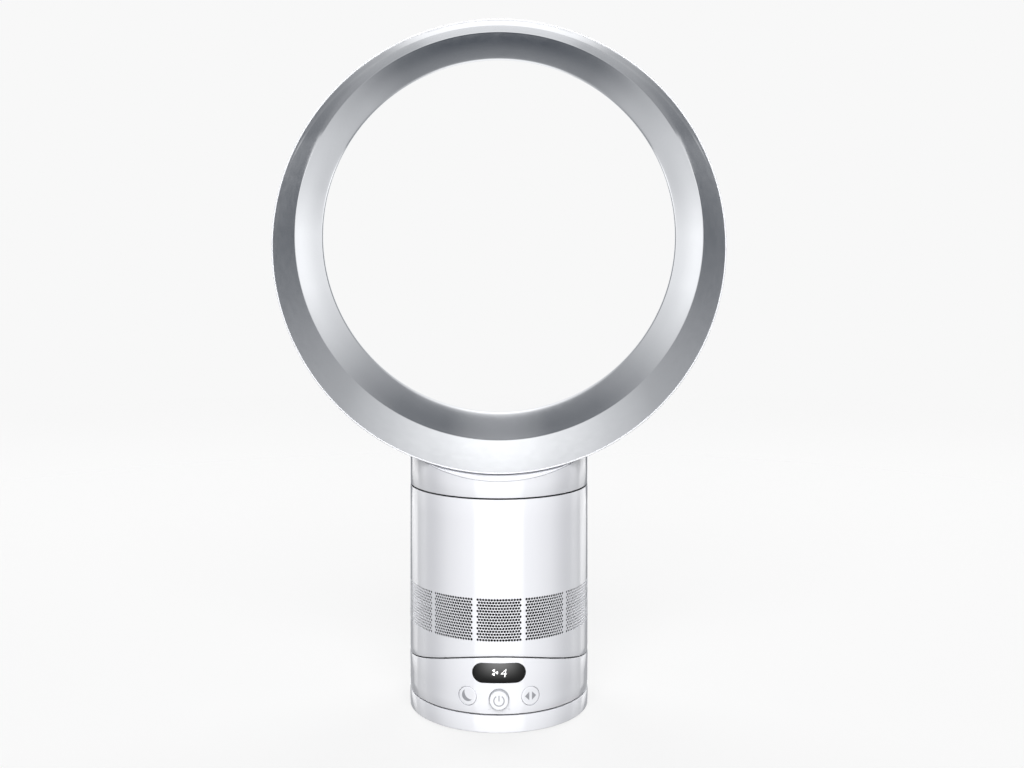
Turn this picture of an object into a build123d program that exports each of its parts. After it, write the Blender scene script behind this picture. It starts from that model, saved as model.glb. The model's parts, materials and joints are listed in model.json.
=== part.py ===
from build123d import *

import os
from math import acos, cos, pi, radians, sin, sqrt, tan

# Bladeless desk fan: an eccentric ring amplifier on a round body. The body tilts on a curved cradle
# and the base under it swings on a fixed foot. Origin at the bottom centre of the foot, +Z up,
# front towards -Y, millimetres.

# ---- fits -----------------------------------------------------------------------------------
SEAT = 0.1            # gap between pieces fixed to each other
PLAY = 0.35           # gap between pieces that move past each other
RUN = 0.06            # radial clearance of a shaft in its bearing
WALL = 2.4            # moulded walls
SEAM = 0.7            # open seams round the body

# ---- outside form -----------------------------------------------------------------------------
BODY_R = 62.4         # round body
SPLIT_Z = 13.1        # seam between foot and swinging base
SEAM_LOW_Z = 37.9     # lowest point of the tilt seam, at the sides
TILT_R = 153.9        # radius of the tilt seam about the tilt axis
TILT_SEAM = 0.5       # width of the tilt seam
COLLAR_Z = 154.5      # seam between body and collar
RING_LOW_Z = 167.6    # lowest point of the ring
CREST_R = 128.3       # narrowest circle of the bore
RING_SECTION = 24.7   # from the narrowest circle out to the ring's outside, as radii
BORE_RISE = 7.2       # height of the bore's centre above the outer circle's centre
RING_FRONT = -43.7    # front plane of the ring
CREASE_Y = -8.0       # depth of the crease
CREST_Y = 30.5        # depth of the narrowest circle
RING_BACK = 43.7      # rearmost circle of the ring
ROUND_DEPTH = 19.7    # depth of the rounding behind the ring
SHELL_WALL = 1.5      # ring shell, the white lip seen from the front
NOSE = 1.0            # front edge of the metallised shroud
CREASE_WALL = 1.4     # shroud at the crease, where it runs close under the shell at the top
SLOT = 1.05           # width of the annular air outlet
TAIL_R = 5.0          # curl of the shroud behind the crest

# ---- foot -------------------------------------------------------------------------------------
RIM_Z = 1.0           # underside of the foot moulding
FOOT_ROUND = 5.0      # rounding of its lower edge
COVER_EDGE = 8.5      # foot's rim outside the cover
COVER_THICK = 2.0     # steel weight plate that closes the foot
PAD_EDGE = 3.9        # cover outside the rubber ring that the fan stands on
PAD_W = 6.5
PAD_THICK = 2.0
SCREW_IN = 4.5        # cover screws, distance inside the rubber ring
SPINDLE_R = 12.0      # hollow spindle the base turns on
SPINDLE_BORE_R = 8.5
JACK_R = 3.5          # power inlet barrel
JACK_BORE_R = 2.8
JACK_PIN_R = 1.0
SCREW_R = 1.2         # self-tapping screws
HEAD_R = 2.5          # their heads
HEAD_THICK = 1.4

# ---- swing drive ------------------------------------------------------------------------------
MODULE = 1.0
GEAR_TEETH = 60       # fixed gear, as a full circle
SECTOR_TEETH = 17     # teeth of the fixed sector
PINION_TEETH = 15
PRESSURE = radians(20)
ADDENDUM = 0.85       # in modules
DEDENDUM = 1.25
BACKLASH = 0.24
GEAR_THICK = 4.0
MOTOR_R = 14.0
PINION_SHAFT_R = 2.5

# ---- controls -----------------------------------------------------------------------------------
DISPLAY_Z = 40.4
DISPLAY_W = 35.4
DISPLAY_H = 13.3
BUTTON_Z = 24.4
BUTTON_TURN = 19.5    # degrees either side of the front
BUTTON_R = 6.05
BUTTON_PRESS = 0.8
KNOB_Z = 23.6
KNOB_R = 6.55
KNOB_OUT = 3.8        # how far the knob stands out of the body
STEM_R = 2.0

# ---- tilt guide ---------------------------------------------------------------------------------
CRADLE_THICK = 2.5
RUNNER_X = 28.0
RUNNER_W = 5.0
RUNNER_FLANGE_W = 10.0
RUNNER_HALF = 3.5     # half length of a runner, degrees about the tilt axis
TILT_MAX = 10.0       # degrees either way
CABLE_R = 6.0
POST_IN = 9.52        # cradle pillars, distance inside the wall
POST_TURN = 33.7      # degrees from the sides to the pillars

# ---- grille -------------------------------------------------------------------------------------
GRILLE_LOW_Z = 61.3
GRILLE_HIGH_Z = 88.9
PANELS = 12
PANEL_TURN = 27.2     # degrees covered by one panel
GRILLE_ROWS = 5
GRILLE_COLS = 4       # openings in the longer rows

# ---- air mover ----------------------------------------------------------------------------------
INLET_Z = 93.0        # lip of the bell mouth
THROAT_R = 34.0
DUCT_R = 48.0
SHAFT_R = 2.5
BLADES = 9
BLADE_THICK = 2.4
BLADE_WRAP = 40.0     # degrees
TIP_GAP = 0.9
VANES = 11
BUCKET_R = 30.0       # motor bucket
BUCKET_H = 35.0
BUCKET_LOW_H = 17.3   # height of its lower half
VANE_LOW = 4.2        # diffuser ring above the bucket's floor
VANE_H = 12.0
STACK_LOW = 6.5       # laminations above the bucket's floor
STACK_H = 13.0
POLE_W = 6.0
COIL_W = 10.0
COIL_IN_R = 14.0
ROTOR_R = 9.5         # magnet on the shaft

# ---- heights and radii that follow ----------------------------------------------------------------
TILT_Z = SEAM_LOW_Z + TILT_R
RING_R = CREST_R + RING_SECTION
RING_Z = RING_LOW_Z + RING_R
BORE_Z = RING_Z + BORE_RISE
CREASE_R = RING_R - BORE_RISE - SHELL_WALL - SEAT - CREASE_WALL
LIP_R = CREST_R + 2.0
IN_R = BODY_R - WALL
FOOT_TOP = SPLIT_Z - SEAM / 2
BASE_Z = SPLIT_Z + SEAM / 2
FLOOR_Z = BASE_Z + WALL
COVER_Z = RIM_Z + 0.2
COVER_TOP = COVER_Z + COVER_THICK
COVER_R = BODY_R - COVER_EDGE
PAD_OUT_R = COVER_R - PAD_EDGE
PAD_IN_R = PAD_OUT_R - PAD_W
SCREW_RING_R = PAD_IN_R - SCREW_IN
BOSS_TOP = FLOOR_Z + 4.0
GEAR_Z = BOSS_TOP + 0.6
GEAR_TOP = GEAR_Z + GEAR_THICK
GEAR_SEAT_R = SPINDLE_R - 2.0
CENTRES = MODULE * (GEAR_TEETH + PINION_TEETH) / 2
MOTOR_Z = GEAR_TOP + 2.5
CRADLE_TOP_R = TILT_R + TILT_SEAM / 2
CRADLE_LOW_R = CRADLE_TOP_R + CRADLE_THICK
SKID_LOW_R = TILT_R - TILT_SEAM / 2
SKID_TOP_R = SKID_LOW_R - WALL
MOTOR_TOP = TILT_Z - CRADLE_LOW_R + 1.0
BOARD_Y = -(BODY_R - 14.6)
BOARD_THICK = 1.6
BOARD_TOP = TILT_Z - sqrt(CRADLE_LOW_R**2 - (BOARD_Y + BOARD_THICK) ** 2) - 0.6
COLLAR_LOW_Z = COLLAR_Z + SEAM / 2
CASING_TOP = COLLAR_Z - SEAM / 2
OUTLET_Z = INLET_Z + 26.0
DUCT_TOP = CASING_TOP - 4.6
BUCKET_Z = OUTLET_Z + 2.0
BUCKET_SPLIT = BUCKET_Z + BUCKET_LOW_H
BUCKET_WALL = 1.8
BUCKET_TOP = BUCKET_Z + BUCKET_H
BEARING_R = 8.0
BEARING_THICK = 3.5
FLANGE_Z = OUTLET_Z + 3.0
PASS_X = BODY_R - 18.0
PASS_FRONT = RING_FRONT + 8.0
PASS_BACK = RING_BACK - ROUND_DEPTH - 2.0
LIP_Y = CREST_Y + TAIL_R + SLOT + 0.65
SADDLE_R = RING_R + 0.2


def disc(radius, low, high):
    """Upright cylinder between two heights."""
    return Pos(0, 0, low) * extrude(Circle(radius), high - low)


def tube(outer, inner, low, high):
    """Upright ring between two heights."""
    return Pos(0, 0, low) * extrude(Circle(outer) - Circle(inner), high - low)


def block(x0, x1, y0, y1, z0, z1):
    """Box between two corners."""
    middle = Pos((x0 + x1) / 2, (y0 + y1) / 2, (z0 + z1) / 2)
    return middle * Box(x1 - x0, y1 - y0, z1 - z0)


def rod(radius, y0, y1, x, z):
    """Round bar along Y."""
    return Pos(x, (y0 + y1) / 2, z) * Rot(90, 0, 0) * Cylinder(radius, y1 - y0)


def turned(points):
    """Solid of revolution about Z from a closed outline of (radius, height)."""
    return revolve(Plane.XZ * make_face(Polyline(*points, close=True)), Axis.Z)


def tilt_drum(radius):
    """Cylinder about the tilt axis, wider than the body."""
    return Pos(0, 0, TILT_Z) * Rot(0, 90, 0) * Cylinder(radius, 2 * BODY_R + 20)


def ring_drum(radius):
    """Cylinder about the ring's outer axis, deeper than the body."""
    return rod(radius, -BODY_R - 10, BODY_R + 10, 0, RING_Z)


def hoop(circles):
    """Closed ring through circles (depth, radius, centre height) taken in order round its section."""
    edges = []
    for depth, radius, height in circles:
        plane = Plane(origin=(0, depth, height), x_dir=(0, 0, 1), z_dir=(0, -1, 0))
        edges.append(Edge.make_circle(radius, plane))
    faces = []
    for one, other in zip(edges, edges[1:] + edges[:1]):
        faces.append(Face.make_surface_from_curves(one, other))
    return Solid(Shell(faces))


def spread(shape, count, start=0.0):
    """Copies of a shape at equal angles about Z."""
    return [Rot(0, 0, start + 360 * k / count) * shape for k in range(count)]


def joined(shapes):
    """Union of a list of shapes."""
    whole = shapes[0]
    for shape in shapes[1:]:
        whole = whole + shape
    return whole


def apart(shapes):
    """Separate like pieces kept in one node."""
    return Compound(children=[Solid(solid.wrapped) for shape in shapes for solid in shape.solids()])


def screw(head_z, tip_z, head_low):
    """Screw on the Z axis with its head between head_low and head_z."""
    return disc(HEAD_R, head_low, head_z) + disc(SCREW_R, min(tip_z, head_z), max(tip_z, head_low))


# ---- foot -----------------------------------------------------------------------------------------
def foot_shell():
    outline = [
        (COVER_R + SEAT, RIM_Z),
        (BODY_R, RIM_Z),
        (BODY_R, FOOT_TOP),
        (SPINDLE_R, FOOT_TOP),
        (SPINDLE_R, BOSS_TOP + 0.45),
        (GEAR_SEAT_R, BOSS_TOP + 0.45),
        (GEAR_SEAT_R, GEAR_TOP + 1.8),
        (SPINDLE_BORE_R, GEAR_TOP + 1.8),
        (SPINDLE_BORE_R, FOOT_TOP - WALL),
        (IN_R, FOOT_TOP - WALL),
        (IN_R, FOOT_ROUND + RIM_Z + 0.5),
        (COVER_R + SEAT, COVER_TOP + SEAT),
    ]
    shell = turned(outline)
    rim = shell.edges().filter_by(GeomType.CIRCLE).filter_by(lambda e: abs(e.radius - BODY_R) < 0.01)
    shell = fillet(rim.sort_by(Axis.Z)[0], FOOT_ROUND)
    post = disc(SCREW_R + 2, COVER_TOP + SEAT, FOOT_TOP - WALL + 0.5)
    hole = disc(SCREW_R + 0.05, COVER_TOP, COVER_TOP + 5.5)
    place = Pos(SCREW_RING_R, 0, 0)
    shell = joined([shell] + spread(place * post, 4))
    for cut in spread(place * hole, 4):
        shell = shell - cut
    return shell - rod(JACK_R + SEAT, COVER_R - 5, BODY_R + 2, 0, jack_z())


def jack_z():
    """Height of the power inlet, between the cover and the top of the foot."""
    return (COVER_TOP + FOOT_TOP - WALL) / 2


def foot_cover():
    plate = disc(COVER_R, COVER_Z, COVER_TOP)
    plate = plate - tube(PAD_OUT_R + SEAT, PAD_IN_R - SEAT, 0, PAD_THICK + 0.05)
    sink = disc(HEAD_R + 0.2, 0, COVER_Z + HEAD_THICK - 0.6) + disc(SCREW_R + 0.15, 0, COVER_TOP + 1)
    for cut in spread(Pos(SCREW_RING_R, 0, 0) * sink, 4):
        plate = plate - cut
    return plate


def rubber_ring():
    return tube(PAD_OUT_R, PAD_IN_R, 0, PAD_THICK)


def foot_screws():
    head_top = COVER_Z + HEAD_THICK - 0.65
    one = disc(HEAD_R, COVER_Z - 0.15, head_top) + disc(SCREW_R, head_top, COVER_TOP + 5)
    return apart(spread(Pos(SCREW_RING_R, 0, 0) * one, 4))


def dc_inlet_jack():
    front = BODY_R - 1.6
    length = 12.0
    barrel = rod(JACK_R, front - length, front, 0, jack_z())
    barrel = barrel - rod(JACK_BORE_R, front - length + 3, front + 1, 0, jack_z())
    return barrel + rod(JACK_PIN_R, front - length + 2, front - 1, 0, jack_z())


def glide_ring():
    return tube(BODY_R - 12, BODY_R - 18, FOOT_TOP, BASE_Z - PLAY)


def tooth_half(teeth, radius):
    """Half angle of an involute tooth at a radius."""
    pitch_r = MODULE * teeth / 2
    at = acos(min(1.0, pitch_r * cos(PRESSURE) / radius))
    half_pitch = pi / (2 * teeth) - BACKLASH / (2 * pitch_r)
    return half_pitch + (tan(PRESSURE) - PRESSURE) - (tan(at) - at)


def teeth_points(teeth, first, count):
    """Outline points of count teeth, the first one centred on an angle in radians."""
    pitch_r = MODULE * teeth / 2
    root_r = pitch_r - DEDENDUM * MODULE
    tip_r = pitch_r + ADDENDUM * MODULE
    low_r = max(root_r, pitch_r * cos(PRESSURE))
    radii = [low_r + (tip_r - low_r) * k / 3 for k in range(4)]
    if low_r > root_r:
        radii = [root_r] + radii
    points = []
    for k in range(count):
        middle = first + 2 * pi * k / teeth
        sides = [(r, middle - tooth_half(teeth, r)) for r in radii]
        sides += [(r, middle + tooth_half(teeth, r)) for r in reversed(radii)]
        points += [(r * cos(a), r * sin(a)) for r, a in sides]
    return points


def slew_gear():
    first = pi / 2 - 2 * pi / GEAR_TEETH * (SECTOR_TEETH - 1) / 2
    outline = [(0, 0)] + teeth_points(GEAR_TEETH, first, SECTOR_TEETH)
    sector = extrude(make_face(Polyline(*outline, close=True)), GEAR_THICK, dir=(0, 0, 1))
    hub = disc(GEAR_SEAT_R + 6, GEAR_Z, GEAR_TOP)
    return Pos(0, 0, GEAR_Z) * sector + hub - disc(GEAR_SEAT_R + SEAT / 2, 0, GEAR_TOP + 5)


def spindle_clip():
    return tube(GEAR_SEAT_R + 3.5, GEAR_SEAT_R + SEAT / 2, GEAR_TOP + 0.05, GEAR_TOP + 1.5)


# ---- swinging base ----------------------------------------------------------------------------------
def cradle_posts():
    """Places of the four pillars that carry the cradle."""
    x = (IN_R - POST_IN) * cos(radians(POST_TURN))
    y = (IN_R - POST_IN) * sin(radians(POST_TURN))
    return [(x, y), (x, -y), (-x, y), (-x, -y)]


def base_chassis():
    chassis = tube(IN_R - SEAT, SPINDLE_R + RUN, BASE_Z, FLOOR_Z)
    chassis = chassis + tube(SPINDLE_R + 5, SPINDLE_R + RUN, BASE_Z, BOSS_TOP)
    for x, y in cradle_posts():
        chassis = chassis + Pos(x, y, 0) * disc(SCREW_R + 1.9, BASE_Z, SEAM_LOW_Z + 8)
        chassis = chassis - Pos(x, y, 0) * disc(HEAD_R + 0.2, BASE_Z - 1, BASE_Z + HEAD_THICK + 0.4)
        chassis = chassis - Pos(x, y, 0) * disc(SCREW_R + 0.1, BASE_Z - 1, SEAM_LOW_Z + 9)
    chassis = chassis & tilt_outside(CRADLE_LOW_R + SEAT / 2)
    for x in (-18, 18):
        chassis = chassis + Pos(x, CENTRES, 0) * disc(SCREW_R + 1.8, FLOOR_Z - 0.5, MOTOR_Z - SEAT / 2)
        chassis = chassis - Pos(x, CENTRES, 0) * disc(SCREW_R + 0.05, MOTOR_Z - 7, MOTOR_Z + 1)
    back = BOARD_Y + BOARD_THICK + SEAT / 2
    for x in (-27, 27):
        chassis = chassis + block(x - 3, x + 3, back, back + 3, FLOOR_Z - 0.5, BOARD_TOP - 7)
    return chassis


def tilt_outside(radius):
    """Everything below a drum about the tilt axis, as far down as the foot."""
    return disc(BODY_R + 5, 0, SEAM_LOW_Z + 30) - tilt_drum(radius)


def radial(turn):
    """Plane on the body's axis at button height, its normal pointing out at an angle from the front."""
    out = (sin(radians(turn)), -cos(radians(turn)), 0)
    return Plane(origin=(0, 0, BUTTON_Z), x_dir=(out[1], -out[0], 0), z_dir=out)


def radial_rod(turn, radius, inner, outer):
    """Round bar pointing out of the body at an angle from the front."""
    return radial(turn) * Pos(0, 0, inner) * extrude(Circle(radius), outer - inner)


def pill(width, height, y0, y1):
    """Stadium-shaped bar along Y at the height of the display."""
    plane = Plane(origin=(0, y0, DISPLAY_Z), x_dir=(1, 0, 0), z_dir=(0, 1, 0))
    return plane * extrude(SlotOverall(width, height), y1 - y0)


def base_casing():
    wall = tube(BODY_R, IN_R, BASE_Z, SEAM_LOW_Z + 25) - tilt_drum(CRADLE_TOP_R)
    wall = wall - pill(DISPLAY_W, DISPLAY_H, -BODY_R - 2, -IN_R + 6)
    for turn in (-BUTTON_TURN, BUTTON_TURN):
        wall = wall - radial_rod(turn, BUTTON_R + PLAY, IN_R - 6, BODY_R + 4)
    return wall - rod(KNOB_R + PLAY, -BODY_R - 2, -IN_R + 6, 0, KNOB_Z)


def tilt_cradle():
    plate = tilt_drum(CRADLE_LOW_R) - tilt_drum(CRADLE_TOP_R)
    plate = plate & disc(IN_R - SEAT, SEAM_LOW_Z - 8, SEAM_LOW_Z + 25)
    reach = CRADLE_LOW_R * sin(radians(TILT_MAX + RUNNER_HALF)) + 2 * PLAY
    for x in (-RUNNER_X, RUNNER_X):
        half = RUNNER_W / 2 + PLAY
        plate = plate - block(x - half, x + half, -reach, reach, 0, SEAM_LOW_Z + 20)
    slot = reach - RUNNER_FLANGE_W
    plate = plate - block(-CABLE_R - 2, CABLE_R + 2, -slot, slot, 0, SEAM_LOW_Z + 20)
    for x, y in cradle_posts():
        plate = plate - Pos(x, y, 0) * disc(SCREW_R + 0.1, 0, SEAM_LOW_Z + 20)
    return plate


def cradle_screws():
    screws = []
    for x, y in cradle_posts():
        tip = TILT_Z - sqrt(CRADLE_TOP_R**2 - y**2) - 0.8
        low = BASE_Z + 0.3
        one = disc(HEAD_R, low, low + HEAD_THICK) + disc(SCREW_R, low + HEAD_THICK, tip)
        screws.append(Pos(x, y, 0) * one)
    return apart(screws)


def display_lens():
    lens = pill(DISPLAY_W - 2 * SEAT, DISPLAY_H - 2 * SEAT, -BODY_R - 2, -IN_R + 6)
    return lens & tube(BODY_R - 0.05, BODY_R - 1.5, DISPLAY_Z - 20, DISPLAY_Z + 20)


def display_module():
    top = TILT_Z - sqrt(CRADLE_LOW_R**2 - (BOARD_Y - 0.3) ** 2) - 0.3
    return block(-15.5, 15.5, -BODY_R + 5, BOARD_Y - 0.3, DISPLAY_Z - 6, top)


def main_board():
    wide = sqrt((IN_R - 2) ** 2 - BOARD_Y**2)
    return block(-wide, wide, BOARD_Y, BOARD_Y + BOARD_THICK, FLOOR_Z + 0.25, BOARD_TOP)


def tact_switches():
    x = (-BOARD_Y + 3) * tan(radians(BUTTON_TURN))
    switches = []
    for side in (-x, x):
        case = block(side - 3, side + 3, BOARD_Y - 1.2, BOARD_Y - 0.05, BUTTON_Z - 3, BUTTON_Z + 3)
        switches.append(case + rod(1.7, BOARD_Y - 1.8, BOARD_Y - 1, side, BUTTON_Z))
    return apart(switches)


def knob_encoder():
    case = block(-6, 6, BOARD_Y - 5.8, BOARD_Y - 0.05, KNOB_Z - 6, KNOB_Z + 6)
    return case - rod(STEM_R + RUN, BOARD_Y - 7, BOARD_Y + 1, 0, KNOB_Z)


def oscillation_motor():
    can = Pos(0, CENTRES, 0) * disc(MOTOR_R, MOTOR_Z, MOTOR_TOP)
    ears = block(-22, 22, CENTRES - 3, CENTRES + 3, MOTOR_Z, MOTOR_Z + 1.2)
    motor = can + ears - Pos(0, CENTRES, 0) * disc(PINION_SHAFT_R + RUN, MOTOR_Z - 1, MOTOR_TOP - 2.5)
    for x in (-18, 18):
        motor = motor - Pos(x, CENTRES, 0) * disc(SCREW_R + 0.15, MOTOR_Z - 1, MOTOR_Z + 2)
    return motor


def motor_screws():
    low = MOTOR_Z + 1.25
    one = disc(HEAD_R, low, low + HEAD_THICK) + disc(SCREW_R, low - 6, low)
    return apart([Pos(x, CENTRES, 0) * one for x in (-18, 18)])


def drive_pinion():
    pitch = 2 * pi / PINION_TEETH
    outline = teeth_points(PINION_TEETH, -pi / 2 + pitch / 2, PINION_TEETH)
    wheel = extrude(make_face(Polyline(*outline, close=True)), GEAR_THICK, dir=(0, 0, 1))
    shaft = disc(PINION_SHAFT_R, GEAR_TOP - 0.5, MOTOR_TOP - 2.9)
    return Pos(0, CENTRES, 0) * (Pos(0, 0, GEAR_Z) * wheel + shaft)


def push_button(turn):
    cap = radial_rod(turn, BUTTON_R, IN_R - 1.2, BODY_R + 4) & disc(BODY_R, BUTTON_Z - 20, BUTTON_Z + 20)
    flange = radial_rod(turn, BUTTON_R + 1.15, IN_R - 2.6, IN_R - 1)
    contact = (-BOARD_Y + 1.8) / cos(radians(BUTTON_TURN))
    return cap + flange + radial_rod(turn, 1.5, contact + BUTTON_PRESS + 0.85, IN_R - 2)


def knob_stem():
    flange = rod(STEM_R + 2.2, -IN_R - 0.2, -IN_R + 1, 0, KNOB_Z)
    return rod(STEM_R, -BODY_R - 1, BOARD_Y - BUTTON_PRESS - 1, 0, KNOB_Z) + flange


def power_knob():
    back = -IN_R - 0.9
    knob = rod(KNOB_R, -BODY_R - KNOB_OUT, back, 0, KNOB_Z)
    knob = fillet(knob.edges().filter_by(GeomType.CIRCLE).sort_by(Axis.Y)[0], 0.7)
    return knob - rod(STEM_R + RUN, -BODY_R - 1.4, back + 1, 0, KNOB_Z)


# ---- tilting body -----------------------------------------------------------------------------------
def body_casing():
    wall = tube(BODY_R, IN_R, SEAM_LOW_Z - 5, CASING_TOP) & tilt_drum(SKID_LOW_R)
    step_z = (GRILLE_HIGH_Z - GRILLE_LOW_Z) / GRILLE_ROWS
    step_a = PANEL_TURN / GRILLE_COLS
    half = step_z * 0.34
    cuts = []
    for panel in range(PANELS):
        for row in range(GRILLE_ROWS):
            z = GRILLE_LOW_Z + step_z * (row + 0.5)
            count = GRILLE_COLS - row % 2
            for col in range(count):
                turn = 360 * panel / PANELS + step_a * (col - (count - 1) / 2)
                cuts.append(Rot(0, 0, turn) * block(-half, half, -BODY_R - 2, -IN_R + 2, z - half, z + half))
    return wall - Compound(children=cuts)


def tilt_skid():
    plate = (tilt_drum(SKID_LOW_R) - tilt_drum(SKID_TOP_R)) & disc(IN_R - SEAT, SEAM_LOW_Z - 5, SEAM_LOW_Z + 25)
    return plate - disc(CABLE_R, 0, SEAM_LOW_Z + 25)


def arc_slab(x, width, inner, outer):
    """Slab about the tilt axis, between two radii, as long as a runner."""
    half = radians(RUNNER_HALF)
    wedge = [(0, 0), (-2 * outer * tan(half), -2 * outer), (2 * outer * tan(half), -2 * outer)]
    face = (Circle(outer) - Circle(inner)) & make_face(Polyline(*wedge, close=True))
    plane = Plane(origin=(x - width / 2, 0, TILT_Z), x_dir=(0, 1, 0), z_dir=(1, 0, 0))
    return plane * extrude(face, width)


def tilt_runners():
    runners = []
    for x in (-RUNNER_X, RUNNER_X):
        neck = arc_slab(x, RUNNER_W, SKID_LOW_R + 0.03, CRADLE_LOW_R + PLAY + 0.5)
        foot = arc_slab(x, RUNNER_FLANGE_W, CRADLE_LOW_R + PLAY, CRADLE_LOW_R + PLAY + 2.2)
        runners.append(neck + foot)
    return apart(runners)


def floor_foam():
    pad = disc(IN_R - 0.6, SEAM_LOW_Z - 5, GRILLE_LOW_Z - 3) & tilt_drum(SKID_TOP_R - SEAT)
    return pad - disc(CABLE_R, 0, GRILLE_LOW_Z)


def inlet_foam():
    return tube(IN_R - 0.5, IN_R - 4.5, GRILLE_LOW_Z - 2.9, GRILLE_HIGH_Z + 3)


def impeller_housing():
    w = 1.8
    z = INLET_Z
    inner = [
        (THROAT_R + 8, z),
        (THROAT_R + 3.5, z + 1),
        (THROAT_R, z + 4.5),
        (THROAT_R + 0.5, z + 9),
        (THROAT_R + 2.5, z + 13),
        (DUCT_R - 7, z + 20),
        (DUCT_R - 2, OUTLET_Z),
        (DUCT_R, OUTLET_Z + 4.5),
        (DUCT_R, DUCT_TOP),
    ]
    outer = [
        (DUCT_R + w, DUCT_TOP),
        (DUCT_R + w, FLANGE_Z + 2),
        (IN_R - 1.5, FLANGE_Z + 2),
        (IN_R - 1.5, FLANGE_Z),
        (DUCT_R + 0.6, FLANGE_Z),
        (DUCT_R - 5.4, z + 19),
        (THROAT_R + 4.6, z + 12.2),
        (THROAT_R + 2.4, z + 8.5),
        (THROAT_R + 1.8, z + 5),
        (THROAT_R + 4.6, z + 2.6),
        (THROAT_R + 8, z + 1.8),
    ]
    return turned(inner + outer)


def housing_seal():
    return tube(IN_R - 0.05, IN_R - 1.45, FLANGE_Z - 1, FLANGE_Z + 3)


def shroud_r(z):
    """Radius of the housing's inner wall over the blades at a height."""
    table = [
        (INLET_Z + 4.5, THROAT_R),
        (INLET_Z + 9, THROAT_R + 0.5),
        (INLET_Z + 13, THROAT_R + 2.5),
        (INLET_Z + 20, DUCT_R - 7),
        (OUTLET_Z, DUCT_R - 2),
    ]
    return between(table, z)


def hub_r(z):
    """Outer radius of the impeller hub at a height."""
    return between(hub_table(), z)


def hub_table():
    low = INLET_Z + 3.5
    return [(low, 7.5), (low + 4, 12), (low + 10, 18), (low + 16, 24.5), (OUTLET_Z, BUCKET_R)]


def between(table, z):
    """Straight-line reading of a table of (height, radius)."""
    for (z0, r0), (z1, r1) in zip(table, table[1:]):
        if z <= z1:
            return r0 + (r1 - r0) * (z - z0) / (z1 - z0)
    return table[-1][1]


def impeller_blade():
    low = INLET_Z + 5.5
    high = OUTLET_Z - 0.4
    wires = []
    for k in range(5):
        z = low + (high - low) * k / 4
        inner = hub_r(z) - 1.5
        outer = shroud_r(z) - TIP_GAP
        turn = -BLADE_WRAP * k / 4
        across = BLADE_THICK / 2
        corners = [(inner, -across), (outer, -across), (outer, across), (inner, across)]
        c = cos(radians(turn))
        s = sin(radians(turn))
        points = [(x * c - y * s, x * s + y * c, z) for x, y in corners]
        wires.append(Wire.make_polygon([Vector(*p) for p in points], close=True))
    return Solid.make_loft(wires, ruled=True)


def impeller():
    low = INLET_Z + 3.5
    outside = [(r, z) for z, r in hub_table()]
    hub = turned(
        [(SHAFT_R + 0.02, low)]
        + outside
        + [(BUCKET_R, OUTLET_Z + 1), (BUCKET_R - 4, OUTLET_Z + 1), (9, OUTLET_Z - 9)]
        + [(9, OUTLET_Z + 1), (SHAFT_R + 0.02, OUTLET_Z + 1)]
    )
    return joined([hub] + spread(impeller_blade(), BLADES))


def motor_rotor():
    shaft = disc(SHAFT_R, INLET_Z + 5, BUCKET_TOP - 6.8)
    magnet = disc(ROTOR_R, BUCKET_Z + STACK_LOW - 0.5, BUCKET_Z + STACK_LOW + STACK_H + 0.5)
    return shaft + magnet


def bearing_heights():
    """Undersides of the lower and the upper bearing."""
    return (BUCKET_Z + 1.25, BUCKET_Z + STACK_LOW + STACK_H + 2.5)


def shaft_bearings():
    low, high = bearing_heights()
    return apart([tube(BEARING_R, SHAFT_R + RUN, z, z + BEARING_THICK) for z in (low, high)])


def motor_bucket_lower():
    w = BUCKET_WALL
    z = BUCKET_Z
    return turned([
        (SHAFT_R + 0.7, z),
        (BUCKET_R - 2.5, z),
        (BUCKET_R, z + 4),
        (BUCKET_R, BUCKET_SPLIT),
        (BUCKET_R - w, BUCKET_SPLIT),
        (BUCKET_R - w, z + 4.5),
        (BUCKET_R - 3.5, z + w),
        (BEARING_R + 2, z + w),
        (BEARING_R + 2, z + 4.8),
        (BEARING_R + 0.05, z + 4.8),
        (BEARING_R + 0.05, z + 1.2),
        (SHAFT_R + 0.7, z + 1.2),
    ])


def motor_bucket_upper():
    w = BUCKET_WALL
    r = BUCKET_R
    low = BUCKET_SPLIT + 0.1
    top = BUCKET_TOP
    seat = bearing_heights()[1]
    return turned([
        (0, top),
        (r * 0.33, top - 1.2),
        (r * 0.68, top - 4.6),
        (r * 0.91, top - 9.5),
        (r, top - 14.5),
        (r, low),
        (r - w, low),
        (r - w, top - 14.7),
        (r * 0.91 - w, top - 10.3),
        (r * 0.68 - 1, top - 6.3),
        (BEARING_R + 2, top - 3.4),
        (BEARING_R + 2, seat),
        (BEARING_R + 0.05, seat),
        (BEARING_R + 0.05, seat + BEARING_THICK + 0.1),
        (SHAFT_R + 0.7, seat + BEARING_THICK + 0.1),
        (SHAFT_R + 0.7, top - 6),
        (0, top - 6),
    ])


def motor_stator():
    low = BUCKET_Z + STACK_LOW
    high = low + STACK_H
    core = tube(BUCKET_R - BUCKET_WALL - SEAT, BUCKET_R - 6, low, high)
    pole = block(-POLE_W / 2, POLE_W / 2, ROTOR_R + 0.9, BUCKET_R - 5.5, low, high)
    return joined([core] + spread(pole, 6))


def stator_coils():
    low = BUCKET_Z + STACK_LOW
    high = low + STACK_H
    half = POLE_W / 2 + SEAT
    coil = block(-COIL_W / 2, COIL_W / 2, COIL_IN_R, BUCKET_R - 7, low - 1.5, high + 1.5)
    coil = coil - block(-half, half, ROTOR_R, BUCKET_R, low - SEAT, high + SEAT)
    return apart(spread(coil, 6))


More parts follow.
